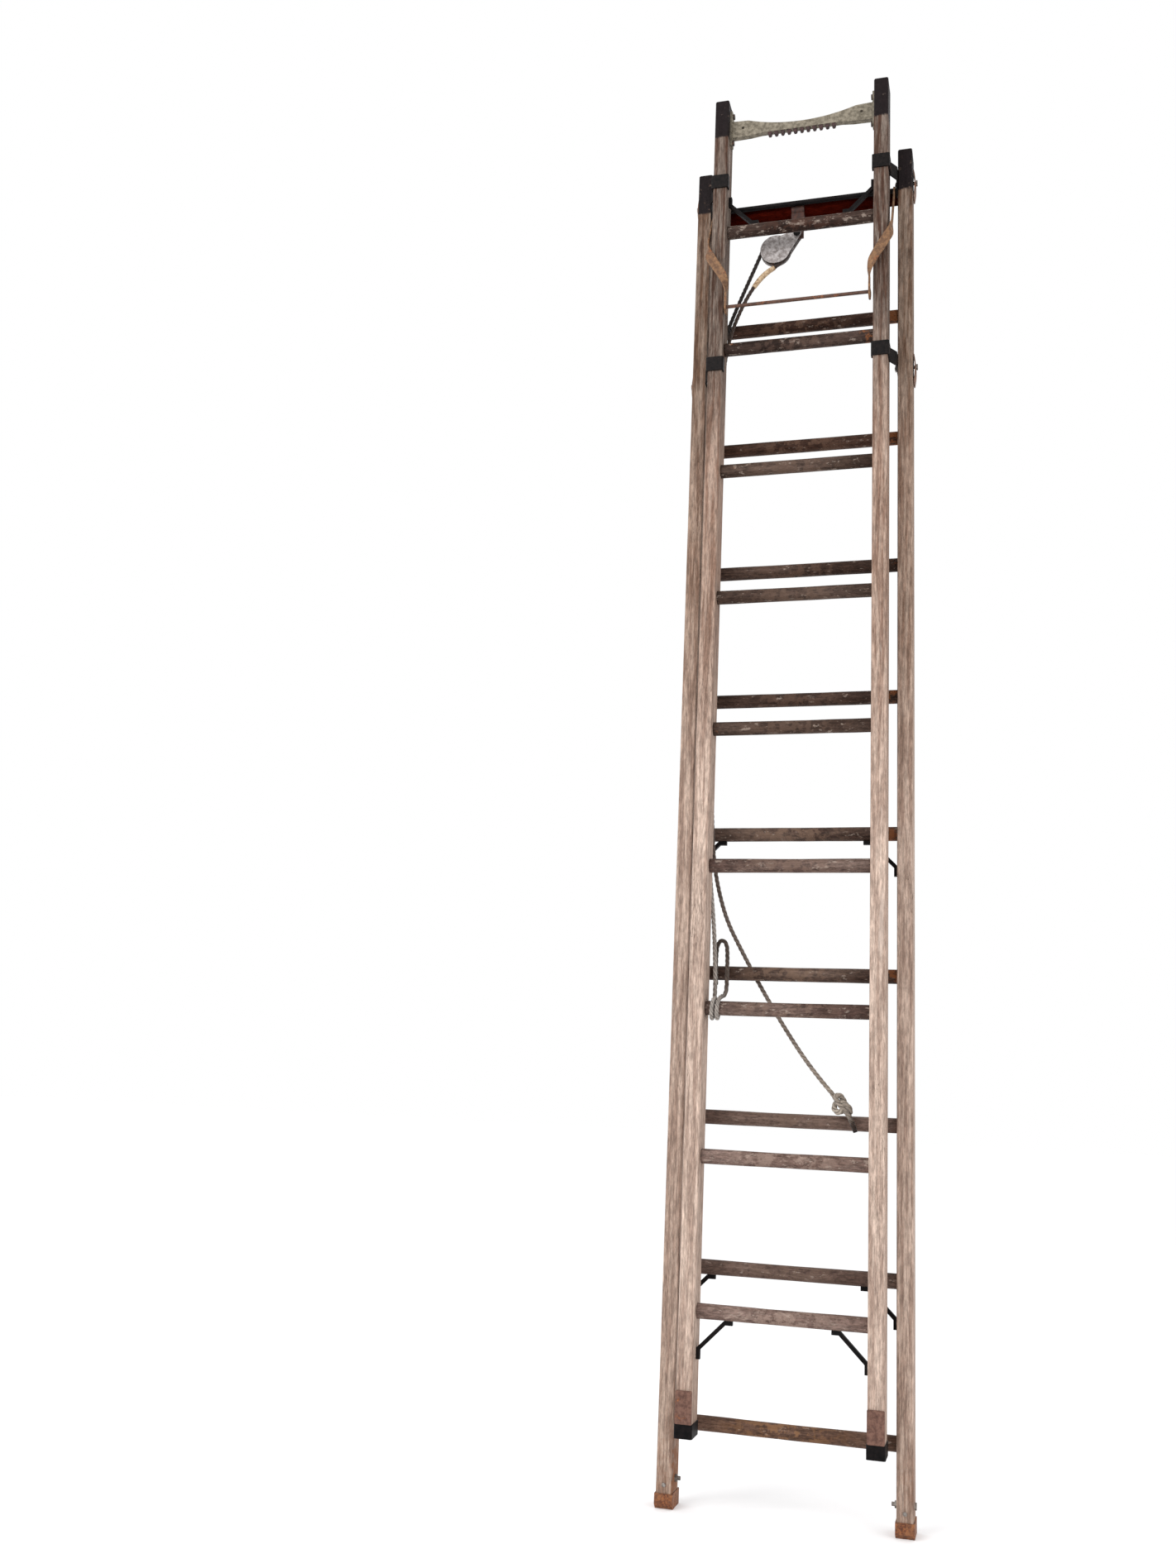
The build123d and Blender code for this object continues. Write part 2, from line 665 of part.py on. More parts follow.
def pulley_axle():
    """The riveted axle of the sheave."""
    reach = cheek_inner + cheek_thickness
    with BuildPart() as body:
        with BuildSketch(Plane.XZ.offset(-sheave_y)):
            with Locations((sheave_x, sheave_z)):
                Circle(axle_radius)
        extrude(amount=reach, both=True)
        for near in (-1, 1):
            with BuildSketch(Plane.XZ.offset(-sheave_y - near * reach)):
                with Locations((sheave_x, sheave_z)):
                    Circle(rivet_radius)
            extrude(amount=-near * rivet_height)
    write(body, "pulley_axle")


def pulley_bolt():
    """The bolt that hangs the block's cheeks on the hanger's tongue."""
    reach = cheek_inner + cheek_thickness
    with BuildPart() as body:
        with BuildSketch(Plane.XZ.offset(-sheave_y)):
            with Locations((eye_x, eye_z)):
                Circle(guide_bolt_radius)
        extrude(amount=reach + hanger_bolt_spare, both=True)
        for near in (-1, 1):
            with BuildSketch(Plane.XZ.offset(-sheave_y - near * reach)):
                with Locations((eye_x, eye_z)):
                    Circle(rivet_radius)
            extrude(amount=-near * hanger_bolt_head)
    write(body, "pulley_bolt")


def sheave():
    """Grooved wheel turning on the axle."""
    with BuildPart() as body:
        with BuildSketch(Plane.XY.offset(sheave_z)):
            with BuildLine():
                Polyline((sheave_x + axle_radius + axle_gap, sheave_y - sheave_width / 2),
                         (sheave_x + sheave_radius, sheave_y - sheave_width / 2),
                         (sheave_x + sheave_radius, sheave_y + sheave_width / 2),
                         (sheave_x + axle_radius + axle_gap, sheave_y + sheave_width / 2), close=True)
            make_face()
            with Locations((sheave_x + rope_path_radius, sheave_y)):
                Circle(groove_radius, mode=Mode.SUBTRACT)
        revolve(axis=Axis((sheave_x, sheave_y, sheave_z), (0, 1, 0)))
    write(body, "sheave")


def pulley():
    """Hanger, cheeks, axle, bolt and sheave."""
    pulley_hanger()
    pulley_cheeks()
    pulley_axle()
    pulley_bolt()
    sheave()


# ---- halyard -------------------------------------------------------------------------------
def bend_radii(points):
    """The largest tangent arc at each inner point: a share of the shorter run over tan(half turn)."""
    radii = []
    for before, here, after in zip(points, points[1:], points[2:]):
        run_in = Vector(*here) - Vector(*before)
        run_out = Vector(*after) - Vector(*here)
        half_turn = radians(run_in.get_angle(run_out)) / 2
        radii.append(arc_share * min(run_in.length, run_out.length) / tan(half_turn))
    return radii


def rope_tube(name, points):
    """A round tube along straight runs joined by tangent arcs."""
    radii = bend_radii(points)
    with BuildPart() as body:
        with BuildLine() as path:
            FilletPolyline(*points, radius=radii)
        with BuildSketch(Plane(origin=path.line @ 0, z_dir=path.line % 0)):
            Circle(rope_diameter / 2)
        sweep(path=path.line)
    length = sum(edge.length for edge in path.edges())
    section = pi * (rope_diameter / 2) ** 2
    print(name, "length", round(length, 1), "volume ratio", round(body.part.volume / (section * length), 4),
          "radii", [round(radius) for radius in radii])
    write(body, name)


def hitch_route():
    """Lead-in, helical turns round the fly's third rung, and the loose loop."""
    turns = []
    for step in range(1, hitch_sides * hitch_turns):
        angle = 2 * pi * (step - 0.5) / hitch_sides
        turns.append((hitch_start_x + hitch_pitch * step / hitch_sides, fly_y + hitch_radius * cos(angle),
                      fly_rung_z[2] - hitch_radius * sin(angle)))
    return hitch_lead_in + turns + hitch_loop


def knot():
    """The outer shape of the stopper knot, with the short tail below it."""
    with BuildPart() as body:
        with Locations((knot_x, knot_y, knot_z)):
            Sphere(knot_size)
    write(body, "rope_knot")


def halyard():
    """Two runs of rope from the sheave, the hitch on the fly, the knot and its tail."""
    rope_tube("rope_fly_side", fly_side_route)
    rope_tube("rope_free_side", free_side_route)
    rope_tube("rope_hitch", hitch_route())
    knot()
    rope_tube("rope_tail", tail_route)


rails()
rungs()
base_shoe("base_shoe_left", -1)
base_shoe("base_shoe_right", 1)
foot_bolts()
fly_end_caps()
fly_end_plates()
braces()
guides()
rung_lock()
pole_strap()
pole_strap_teeth()
pole_strap_bolts()
pulley()
halyard()
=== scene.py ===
import bmesh
import bpy
import numpy as np
from mathutils import Matrix


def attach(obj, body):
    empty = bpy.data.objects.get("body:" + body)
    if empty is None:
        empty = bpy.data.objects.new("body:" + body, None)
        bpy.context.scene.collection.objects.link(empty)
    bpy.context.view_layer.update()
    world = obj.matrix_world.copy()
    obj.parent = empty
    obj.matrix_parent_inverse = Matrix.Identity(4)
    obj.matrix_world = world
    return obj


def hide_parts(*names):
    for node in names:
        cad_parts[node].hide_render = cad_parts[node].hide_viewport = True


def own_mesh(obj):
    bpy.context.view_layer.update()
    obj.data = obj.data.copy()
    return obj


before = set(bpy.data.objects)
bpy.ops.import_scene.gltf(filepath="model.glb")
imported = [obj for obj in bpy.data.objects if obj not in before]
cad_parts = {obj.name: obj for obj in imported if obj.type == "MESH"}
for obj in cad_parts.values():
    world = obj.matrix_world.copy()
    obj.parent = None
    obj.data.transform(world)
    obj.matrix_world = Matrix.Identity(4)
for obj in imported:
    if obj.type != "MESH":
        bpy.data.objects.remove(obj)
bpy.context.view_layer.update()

# ---- Camera --------------------------------------------------------------------------------
# Someone's eye level a little under the fly's third rung, three metres off and to the right,
# with the ladder seen as if it leant back against its wall.
camera_place = (0.46136, -3.14115, 0.79862)
camera_right = (0.96005, 0.27607, 0.04566)
camera_up = (0.01535, -0.21491, 0.97651)
camera_back = (0.27940, -0.93680, -0.21056)

camera_data = bpy.data.cameras.new("camera")
camera_data.lens = 33.585
camera_data.sensor_width = 36.0
camera_data.clip_end = 200.0
camera = bpy.data.objects.new("camera", camera_data)
bpy.context.scene.collection.objects.link(camera)
camera.matrix_world = Matrix([
    (*axes, place) for *axes, place in zip(camera_right, camera_up, camera_back, camera_place)
] + [(0, 0, 0, 1)])
bpy.context.scene.camera = camera

# ---- Halyard: the hoisting rope ------------------------------------------------------------
# Three-strand laid rope, 9.5 mm, dark with grease where it runs and bleached where it is held.
# One end is hitched round the fly's third rung, and it goes up, over the sheave and down behind.
rope_diameter = 0.0095
rope_lay = 0.034                # one turn of the strands
sheave_side = (-0.0945, -0.014, 2.8115)

fly_side_route = [
    sheave_side, (-0.1083, -0.014, 2.776), (-0.132, -0.0165, 2.716), (-0.1575, -0.021, 2.648),
    (-0.1815, -0.026, 2.576), (-0.195, -0.027, 2.474), (-0.2002, -0.0275, 2.34), (-0.2018, -0.0275, 2.203),
    (-0.2016, -0.0275, 2.064), (-0.2002, -0.0275, 1.926), (-0.1986, -0.0275, 1.79),
    (-0.1966, -0.0275, 1.66), (-0.1938, -0.028, 1.536), (-0.1895, -0.0285, 1.418),
    (-0.1805, -0.0295, 1.305), (-0.1685, -0.032, 1.2), (-0.162, -0.037, 1.13), (-0.159, -0.04, 1.062),
]
free_side_route = [
    sheave_side, (-0.0889, -0.014, 2.8259), (-0.0592, -0.014, 2.8347), (-0.034, -0.014, 2.8167),
    (-0.0328, -0.014, 2.7857), (-0.058, -0.014, 2.762), (-0.092, -0.016, 2.741), (-0.121, -0.0185, 2.701),
    (-0.146, -0.022, 2.648), (-0.1705, -0.025, 2.576), (-0.184, -0.0265, 2.472),
    (-0.189, -0.0265, 2.338), (-0.1904, -0.0265, 2.2),
    (-0.1902, -0.0265, 2.06), (-0.1889, -0.0265, 1.922), (-0.187, -0.0265, 1.786),
    (-0.1848, -0.0265, 1.655), (-0.1822, -0.0265, 1.53), (-0.179, -0.026, 1.42), (-0.1745, -0.019, 1.33),
    (-0.165, -0.004, 1.262), (-0.146, 0.012, 1.192), (-0.114, 0.022, 1.13), (-0.077, 0.027, 1.062),
    (-0.028, 0.01, 0.985), (0.028, -0.012, 0.905), (0.078, -0.024, 0.846), (0.1, -0.028, 0.824),
]
hitch_start, hitch_y, hitch_z = -0.162, -0.066, 0.9996      # the turns begin here, round the rung
hitch_pitch, hitch_radius, hitch_sides = 0.011, 0.0242, 6
hitch_steps = np.arange(1, 12)
hitch_angle = np.radians(360 / hitch_sides * (hitch_steps - 0.5))
hitch_turns = np.stack([hitch_start + hitch_pitch * hitch_steps / hitch_sides,
                        hitch_y + hitch_radius * np.cos(hitch_angle),
                        hitch_z - hitch_radius * np.sin(hitch_angle)], axis=1)
hitch_route = [
    (-0.159, -0.04, 1.0616), (-0.1579, -0.0411, 1.036), *map(tuple, hitch_turns.tolist()),
    (-0.134, -0.04, 1.03), (-0.1345, -0.035, 1.082), (-0.136, -0.029, 1.122), (-0.1385, -0.0275, 1.14),
    (-0.1485, -0.0255, 1.1495), (-0.1585, -0.025, 1.14), (-0.161, -0.0245, 1.122),
    (-0.1615, -0.0245, 1.092), (-0.1595, -0.027, 1.052),
]


def along_route(route, spacing):
    """Evenly spaced points on the smooth line that a route's control points pull: an order-3 NURBS
    spline is sampled, and the samples are spaced again by their distance along it."""
    line = bpy.data.curves.new("route", "CURVE")
    line.dimensions = "3D"
    spline = line.splines.new("NURBS")
    spline.points.add(len(route) - 1)
    spline.points.foreach_set("co", np.column_stack([route, np.ones(len(route))]).ravel())
    spline.order_u = 3
    spline.use_endpoint_u = True
    spline.resolution_u = 24
    holder = bpy.data.objects.new("route", line)
    bpy.context.scene.collection.objects.link(holder)
    bpy.context.view_layer.update()
    mesh = bpy.data.meshes.new_from_object(holder)
    points = np.empty(len(mesh.vertices) * 3)
    mesh.vertices.foreach_get("co", points)
    points = points.reshape(-1, 3)
    bpy.data.objects.remove(holder)
    bpy.data.meshes.remove(mesh)
    bpy.data.curves.remove(line)
    steps = np.linalg.norm(np.diff(points, axis=0), axis=1)
    keep = np.concatenate([[True], steps > 1e-7])
    points = points[keep]
    distance = np.concatenate([[0], np.cumsum(np.linalg.norm(np.diff(points, axis=0), axis=1))])
    even = np.linspace(0, distance[-1], max(3, round(distance[-1] / spacing) + 1))
    return np.column_stack([np.interp(even, distance, points[:, i]) for i in range(3)]), even


def skin(name, rings, around=None, along=None, capped=True, looped=False):
    """A closed surface through rings of points, an array (ring, point, xyz). Each point joins the next
    one round its ring and the same one on the next ring. Caps close the two end rings, or the last
    ring joins the first when looped. around and along become the UV map."""
    count, width = rings.shape[:2]
    index = np.arange(count * width).reshape(count, width)
    after = np.roll(index, -1, axis=0) if looped else index[1:]
    here = index if looped else index[:-1]
    quads = np.stack([here, np.roll(here, -1, axis=1), np.roll(after, -1, axis=1), after], axis=-1)
    faces = quads.reshape(-1, 4).tolist()
    if capped and not looped:
        faces += [index[0][::-1].tolist(), index[-1].tolist()]
    mesh = bpy.data.meshes.new(name)
    mesh.from_pydata(rings.reshape(-1, 3).tolist(), [], faces)
    mesh.polygons.foreach_set("use_smooth", np.ones(len(faces), bool))
    if around is not None:
        corner = np.empty(len(mesh.loops), int)
        mesh.loops.foreach_get("vertex_index", corner)
        u, v = np.meshgrid(around, along)
        uv = np.stack([u.ravel()[corner], v.ravel()[corner]], axis=1)
        quad_uv = uv[:quads.size].reshape(-1, 4, 2)
        last = quads.reshape(-1, 4)[:, 0] % width == width - 1
        quad_uv[last, 1:3, 0] = 1.0
        uv[:quads.size] = quad_uv.reshape(-1, 2)
        mesh.uv_layers.new(name="surface").data.foreach_set("uv", uv.ravel())
    outward = bmesh.new()
    outward.from_mesh(mesh)
    bmesh.ops.recalc_face_normals(outward, faces=outward.faces)
    outward.to_mesh(mesh)
    outward.free()
    piece = bpy.data.objects.new(name, mesh)
    bpy.context.scene.collection.objects.link(piece)
    return piece


def laid_rope(name, route, reference, spacing=0.002, swell=0.0):
    """A rope's surface: round each point of its line, the outline of three touching strands, turned
    with the distance along it. An outline point at angle a from a strand's middle lies at
    p cos a + sqrt(q q - p p sin a sin a), where p is the strand's offset and q its radius. swell is
    the share by which a jammed rope grows towards the middle of its length."""
    line, distance = along_route(route, spacing)
    tangent = np.gradient(line, axis=0)
    tangent /= np.linalg.norm(tangent, axis=1, keepdims=True)
    side = np.cross(tangent, reference)
    side /= np.linalg.norm(side, axis=1, keepdims=True)
    up = np.cross(side, tangent)
    offset, strand = 0.0018, rope_diameter / 2 - 0.0018
    around = np.arange(21) / 21
    angle = 2 * np.pi * around
    from_middle = (angle % (2 * np.pi / 3)) - np.pi / 3
    radius = offset * np.cos(from_middle) + np.sqrt(strand**2 - (offset * np.sin(from_middle))**2)
    turned = angle[None, :] + 2 * np.pi * distance[:, None] / rope_lay
    radius = radius * (1 + swell * np.sin(np.pi * distance / distance[-1]) ** 0.5)[:, None]
    rings = (line[:, None, :] + (radius * np.cos(turned))[..., None] * side[:, None, :]
             + (radius * np.sin(turned))[..., None] * up[:, None, :])
    return skin(name, rings, around, distance), line, distance[-1]


def node(tree, kind, inputs=None, **settings):
    """Adds a shader node, sets its properties and fills its inputs: a socket is linked, a value is set."""
    made = tree.nodes.new("ShaderNode" + kind)
    for key, value in settings.items():
        setattr(made, key, value)
    for key, value in (inputs or {}).items():
        if isinstance(value, bpy.types.NodeSocket):
            tree.links.new(value, made.inputs[key])
        else:
            made.inputs[key].default_value = value
    return made


def shade(red, green, blue):
    """A finish colour given in display steps of 0 to 255, as the linear colour that shaders take."""
    steps = np.array([red, green, blue]) / 255
    linear = np.where(steps <= 0.04045, steps / 12.92, ((steps + 0.055) / 1.055) ** 2.4)
    return (*linear.tolist(), 1.0)


def mixed(tree, factor, a, b, way="MIX"):
    """Colour a turned towards colour b by a factor."""
    made = node(tree, "Mix", {0: factor, 6: a, 7: b}, data_type="RGBA", blend_type=way)
    return made.outputs[2]


def level(tree, value, low, high, to_low=0.0, to_high=1.0):
    """A value spread from one span to another, and held at its ends."""
    made = node(tree, "MapRange", {"Value": value, "From Min": low, "From Max": high,
                                   "To Min": to_low, "To Max": to_high}, interpolation_type="SMOOTHSTEP")
    return made.outputs["Result"]


def sum_of(tree, operation, a, b):
    """Two values joined by an arithmetic operation."""
    return node(tree, "Math", {0: a, 1: b}, operation=operation).outputs[0]


def speckle(tree, place, scale, detail=5.0, rough=0.6, stretch=(1, 1, 1)):
    """Noise on a surface, drawn out along an axis by a stretch below one."""
    placed = node(tree, "Mapping", {"Vector": place, "Scale": stretch}).outputs["Vector"]
    made = node(tree, "TexNoise", {"Vector": placed, "Scale": scale, "Detail": detail, "Roughness": rough})
    return made.outputs["Fac"]


def bands(tree, value, stops):
    """A colour for each value, through stops of (position, colour)."""
    made = node(tree, "ValToRGB", {"Fac": value})
    ramp = made.color_ramp
    ramp.elements[0].position, ramp.elements[0].color = stops[0]
    ramp.elements[1].position, ramp.elements[1].color = stops[-1]
    for position, colour in stops[1:-1]:
        ramp.elements.new(position).color = colour
    return made.outputs["Color"]


def new_finish(name, **constants):
    """An empty material: its node tree and its shader, with the constants set on the shader's sockets."""
    material = bpy.data.materials.new(name)
    material.use_nodes = True
    shader = material.node_tree.nodes["Principled BSDF"]
    for key, value in constants.items():
        shader.inputs[key.replace("_", " ")].default_value = value
    return material, material.node_tree, shader


def new_group(name, inputs, outputs):
    """An empty shader node group with named value inputs and outputs, and its two end nodes."""
    group = bpy.data.node_groups.new(name, "ShaderNodeTree")
    for label, kind, value in inputs:
        socket = group.interface.new_socket(label, in_out="INPUT", socket_type="NodeSocket" + kind)
        if value is not None:
            socket.default_value = value
    for label, kind in outputs:
        group.interface.new_socket(label, in_out="OUTPUT", socket_type="NodeSocket" + kind)
    return group, group.nodes.new("NodeGroupInput"), group.nodes.new("NodeGroupOutput")


def fill_group(tree, group, inputs):
    """Places a group and then fills its inputs, which exist once the group is set."""
    made = node(tree, "Group", {}, node_tree=group)
    for key, value in inputs.items():
        if isinstance(value, bpy.types.NodeSocket):
            tree.links.new(value, made.inputs[key])
        else:
            made.inputs[key].default_value = value
    return made


# Yarn lay: fine yarns that run along the strands, a mask of the grooves between strands that carries painted
# shade, and soiled lengths.
yarn_lay, yarn_in, yarn_out = new_group(
    "yarn_lay", [("Surface", "Vector", None), ("Yarn", "Float", 90.0)],
    [("Groove", "Float"), ("Yarns", "Float"), ("Soil", "Float")])
yarn_parts = node(yarn_lay, "SeparateXYZ", {0: yarn_in.outputs["Surface"]})
yarn_turn = sum_of(yarn_lay, "MULTIPLY", yarn_parts.outputs[0], 3 * np.pi)
yarn_groove = node(yarn_lay, "Math", {0: yarn_turn}, operation="SINE").outputs[0]
yarn_groove = node(yarn_lay, "Math", {0: yarn_groove}, operation="ABSOLUTE").outputs[0]
yarn_lay.links.new(level(yarn_lay, yarn_groove, 0.05, 0.6), yarn_out.inputs["Groove"])
yarn_place = node(yarn_lay, "CombineXYZ", {0: sum_of(yarn_lay, "MULTIPLY", yarn_parts.outputs[0], 0.5),
                                           1: yarn_parts.outputs[1]}).outputs[0]
yarn_fine = node(yarn_lay, "TexNoise", {
    "Vector": node(yarn_lay, "Mapping", {"Vector": yarn_place, "Scale": (1.0, 3.0, 1.0)}).outputs[0],
    "Scale": yarn_in.outputs["Yarn"], "Detail": 4.0, "Roughness": 0.6}).outputs["Fac"]
yarn_lay.links.new(yarn_fine, yarn_out.inputs["Yarns"])
yarn_soil = speckle(yarn_lay, yarn_place, 14.0, 4.0, 0.65)
yarn_lay.links.new(level(yarn_lay, yarn_soil, 0.38, 0.64), yarn_out.inputs["Soil"])


def rope_finish(name, length, stops, soiled):
    """Old rope: a colour for each share of its length, darker in its soiled patches, with painted shade in
    the grooves between its strands.
    """
    material, tree, shader = new_finish(name, Sheen_Weight=0.25, Specular_IOR_Level=0.2)
    surface = node(tree, "UVMap", uv_map="surface").outputs[0]
    lay = fill_group(tree, yarn_lay, {"Surface": surface, "Yarn": 90.0})
    share = sum_of(tree, "DIVIDE", node(tree, "SeparateXYZ", {0: surface}).outputs[1], length)
    colour = bands(tree, share, stops)
    dirty = mixed(tree, sum_of(tree, "MULTIPLY", lay.outputs["Soil"], soiled), colour, shade(28, 21, 17))
    fibres = level(tree, lay.outputs["Yarns"], 0.3, 0.7, 0.62, 1.22)
    grey = node(tree, "CombineColor", {0: fibres, 1: fibres, 2: fibres}).outputs[0]
    lit = mixed(tree, 1.0, dirty, grey, "MULTIPLY")
    # Painted shade: the grooves between the strands are darkened towards near black.
    groove_shaded = mixed(tree, level(tree, lay.outputs["Groove"], 0.0, 1.0, 0.45, 1.0), shade(20, 15, 12), lit)
    tree.links.new(groove_shaded, shader.inputs["Base Color"])
    tree.links.new(level(tree, lay.outputs["Yarns"], 0.2, 0.8, 0.7, 0.95), shader.inputs["Roughness"])
    bump = node(tree, "Bump", {"Height": lay.outputs["Yarns"], "Strength": 0.5, "Distance": 0.0006})
    tree.links.new(bump.outputs[0], shader.inputs["Normal"])
    return material


across = (0.0, 1.0, 0.0)
rope_near_black, rope_dark, rope_grey = shade(38, 29, 25), shade(74, 58, 49), shade(172, 163, 155)

rope_fly_side, fly_side_line, fly_side_length = laid_rope("halyard_fly_side", fly_side_route, across)
rope_fly_side.data.materials.append(rope_finish("halyard_fly_side", fly_side_length, [
    (0.0, rope_near_black), (0.3, rope_near_black), (0.6, rope_dark), (0.76, shade(136, 122, 113)),
    (0.85, rope_grey), (1.0, rope_grey)], 0.4))
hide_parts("rope_fly_side")
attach(rope_fly_side, "base")
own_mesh(rope_fly_side)

rope_free_side, free_side_line, free_side_length = laid_rope("halyard_free_side", free_side_route, across)
rope_free_side.data.materials.append(rope_finish("halyard_free_side", free_side_length, [
    (0.0, rope_near_black), (0.12, rope_dark), (0.55, shade(74, 60, 53)), (0.72, shade(106, 92, 83)),
    (0.88, shade(134, 120, 110)), (1.0, shade(160, 147, 134))], 0.5))
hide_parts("rope_free_side")
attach(rope_free_side, "base")

# A tan tape is wound over the rope just below the sheave.
tape_low, tape_high, tape_from, tape_sides, tape_winds = 2.706, 2.757, -0.062, 24, 9
line_x, line_z = free_side_line[:, 0], free_side_line[:, 2]
taped = free_side_line[(line_z > tape_low) & (line_z < tape_high) & (line_x < tape_from)]
tape_share = np.linspace(0, 1, len(taped))
tape_tangent = np.gradient(taped, axis=0)
tape_tangent /= np.linalg.norm(tape_tangent, axis=1, keepdims=True)
tape_side = np.cross(tape_tangent, across)
tape_side /= np.linalg.norm(tape_side, axis=1, keepdims=True)
tape_up = np.cross(tape_side, tape_tangent)
tape_angle = np.linspace(0, 2 * np.pi, tape_sides, endpoint=False)
tape_radius = (0.0051 + 0.0011 * np.clip(np.sin(np.pi * tape_share), 0, 1) ** 0.35
               + 0.00018 * np.sin(2 * np.pi * tape_winds * tape_share))[:, None]
rope_tape = skin("halyard_tape", taped[:, None, :]
                 + (tape_radius * np.cos(tape_angle))[..., None] * tape_side[:, None, :]
                 + (tape_radius * np.sin(tape_angle))[..., None] * tape_up[:, None, :],
                 np.arange(tape_sides) / tape_sides, 0.05 * tape_share)
tape_finish, tape_tree, tape_shader = new_finish("tan_tape", Specular_IOR_Level=0.3)
tape_place = node(tape_tree, "TexCoord").outputs["Object"]
tape_tree.links.new(mixed(tape_tree, level(tape_tree, speckle(tape_tree, tape_place, 160.0), 0.4, 0.66),
                          shade(196, 172, 140), shade(140, 110, 82)), tape_shader.inputs["Base Color"])
tape_tree.links.new(level(tape_tree, speckle(tape_tree, tape_place, 90.0), 0.3, 0.7, 0.5, 0.8),
                    tape_shader.inputs["Roughness"])
rope_tape.data.materials.append(tape_finish)
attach(rope_tape, "base")

rope_hitch, hitch_line, hitch_length = laid_rope("halyard_hitch", hitch_route, (0.6, 0.0, 0.8), 0.0015)
rope_hitch.data.materials.append(rope_finish("halyard_hitch", hitch_length, [
    (0.0, rope_grey), (0.45, rope_grey), (0.62, shade(96, 82, 73)), (0.85, shade(70, 58, 50)),
    (1.0, shade(96, 84, 76))], 0.5))
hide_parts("rope_hitch")
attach(rope_hitch, "fly")

# ---- Stopper knot and its tail -------------------------------------------------------------
# The rope's free end, tied in a bulky overhand knot that is jammed tight, with a short tail that
# lies over the front of a base rung and ends in a dark taped tip.
knot_middle = np.array([0.110, -0.031, 0.810])
knot_turns = np.radians(np.linspace(24, 336, 15))
knot_size, knot_depth, knot_tilt = 0.0056, 0.0056, np.radians(-52)
knot_stretch = 1.45             # the knot is drawn out along the rope
knot_flat = knot_size * np.stack([np.sin(knot_turns) + 2 * np.sin(2 * knot_turns),
                                  np.cos(knot_turns) - 2 * np.cos(2 * knot_turns)], axis=1)
knot_loop = knot_middle + np.stack([
    knot_stretch * knot_flat[:, 0] * np.cos(knot_tilt) - knot_flat[:, 1] * np.sin(knot_tilt),
    knot_depth * np.sin(3 * knot_turns),
    knot_stretch * knot_flat[:, 0] * np.sin(knot_tilt) + knot_flat[:, 1] * np.cos(knot_tilt)], axis=1)
knot_route = [(0.09, -0.0262, 0.834), *map(tuple, knot_loop.tolist()),
              (0.1235, -0.0345, 0.795), (0.131, -0.031, 0.78), (0.139, -0.0265, 0.758)]
stopper_knot, _, knot_length = laid_rope("halyard_stopper_knot", knot_route, across, 0.0015, 0.28)
stopper_knot.data.materials.append(rope_finish("halyard_stopper_knot", knot_length, [
    (0.0, shade(150, 137, 124)), (0.5, shade(176, 164, 150)), (0.86, shade(160, 148, 136)),
    (0.93, shade(70, 56, 47)), (1.0, shade(34, 26, 22))], 0.45))
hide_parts("rope_knot", "rope_tail")
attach(stopper_knot, "base")

# ---- Fly and base rails --------------------------------------------------------------------
# Four long ash rails, weathered to a pinkish grey, browner and greasier towards their tops, with
# silver streaks along the grain. The last hand's breadth of each is painted charcoal.
wood_grain, grain_in, grain_out = new_group(
    "wood_grain", [("Place", "Vector", None), ("Fineness", "Float", 1.0)],
    [("Fibre", "Float"), ("Streak", "Float"), ("Split", "Float")])
grain_stretch = (1, 1, 0.05)
grain_place = node(wood_grain, "Mapping", {"Vector": grain_in.outputs["Place"],
                                           "Scale": grain_stretch}).outputs[0]
grain_kinds = (("Fibre", 620.0, 5.0), ("Streak", 150.0, 4.0), ("Split", 240.0, 2.0))
for grain_name, grain_scale, grain_detail in grain_kinds:
    grain_noise = node(wood_grain, "TexNoise", {
        "Vector": grain_place, "Detail": grain_detail, "Roughness": 0.6,
        "Scale": sum_of(wood_grain, "MULTIPLY", grain_in.outputs["Fineness"], grain_scale)}).outputs["Fac"]
    if grain_name == "Split":
        grain_noise = sum_of(wood_grain, "ABSOLUTE", sum_of(wood_grain, "SUBTRACT", grain_noise, 0.5), 0.0)
        grain_noise = level(wood_grain, grain_noise, 0.0, 0.016, 1.0, 0.0)
    wood_grain.links.new(grain_noise, grain_out.inputs[grain_name])

rub_mask, rub_in, rub_out = new_group(
    "rub_mask", [("Place", "Vector", None), ("Scale", "Float", 20.0), ("Cover", "Float", 0.5)],
    [("Mask", "Float")])
rub_noise = node(rub_mask, "TexNoise", {"Vector": rub_in.outputs["Place"], "Scale": rub_in.outputs["Scale"],
                                        "Detail": 7.0, "Roughness": 0.68}).outputs["Fac"]
rub_low = sum_of(rub_mask, "SUBTRACT", 0.74, sum_of(rub_mask, "MULTIPLY", rub_in.outputs["Cover"], 0.48))
rub_mask.links.new(level(rub_mask, rub_noise, rub_low, sum_of(rub_mask, "ADD", rub_low, 0.09)),
                   rub_out.inputs["Mask"])


def patches(tree, place, scale, cover, stretch=(1, 1, 1)):
    """Ragged patches that cover about a share of the surface."""
    placed = node(tree, "Mapping", {"Vector": place, "Scale": stretch}).outputs[0]
    return fill_group(tree, rub_mask, {"Place": placed, "Scale": scale, "Cover": cover}).outputs["Mask"]


full_height = 3.2
dark_streak, pale_streak = shade(92, 66, 54), shade(222, 206, 192)


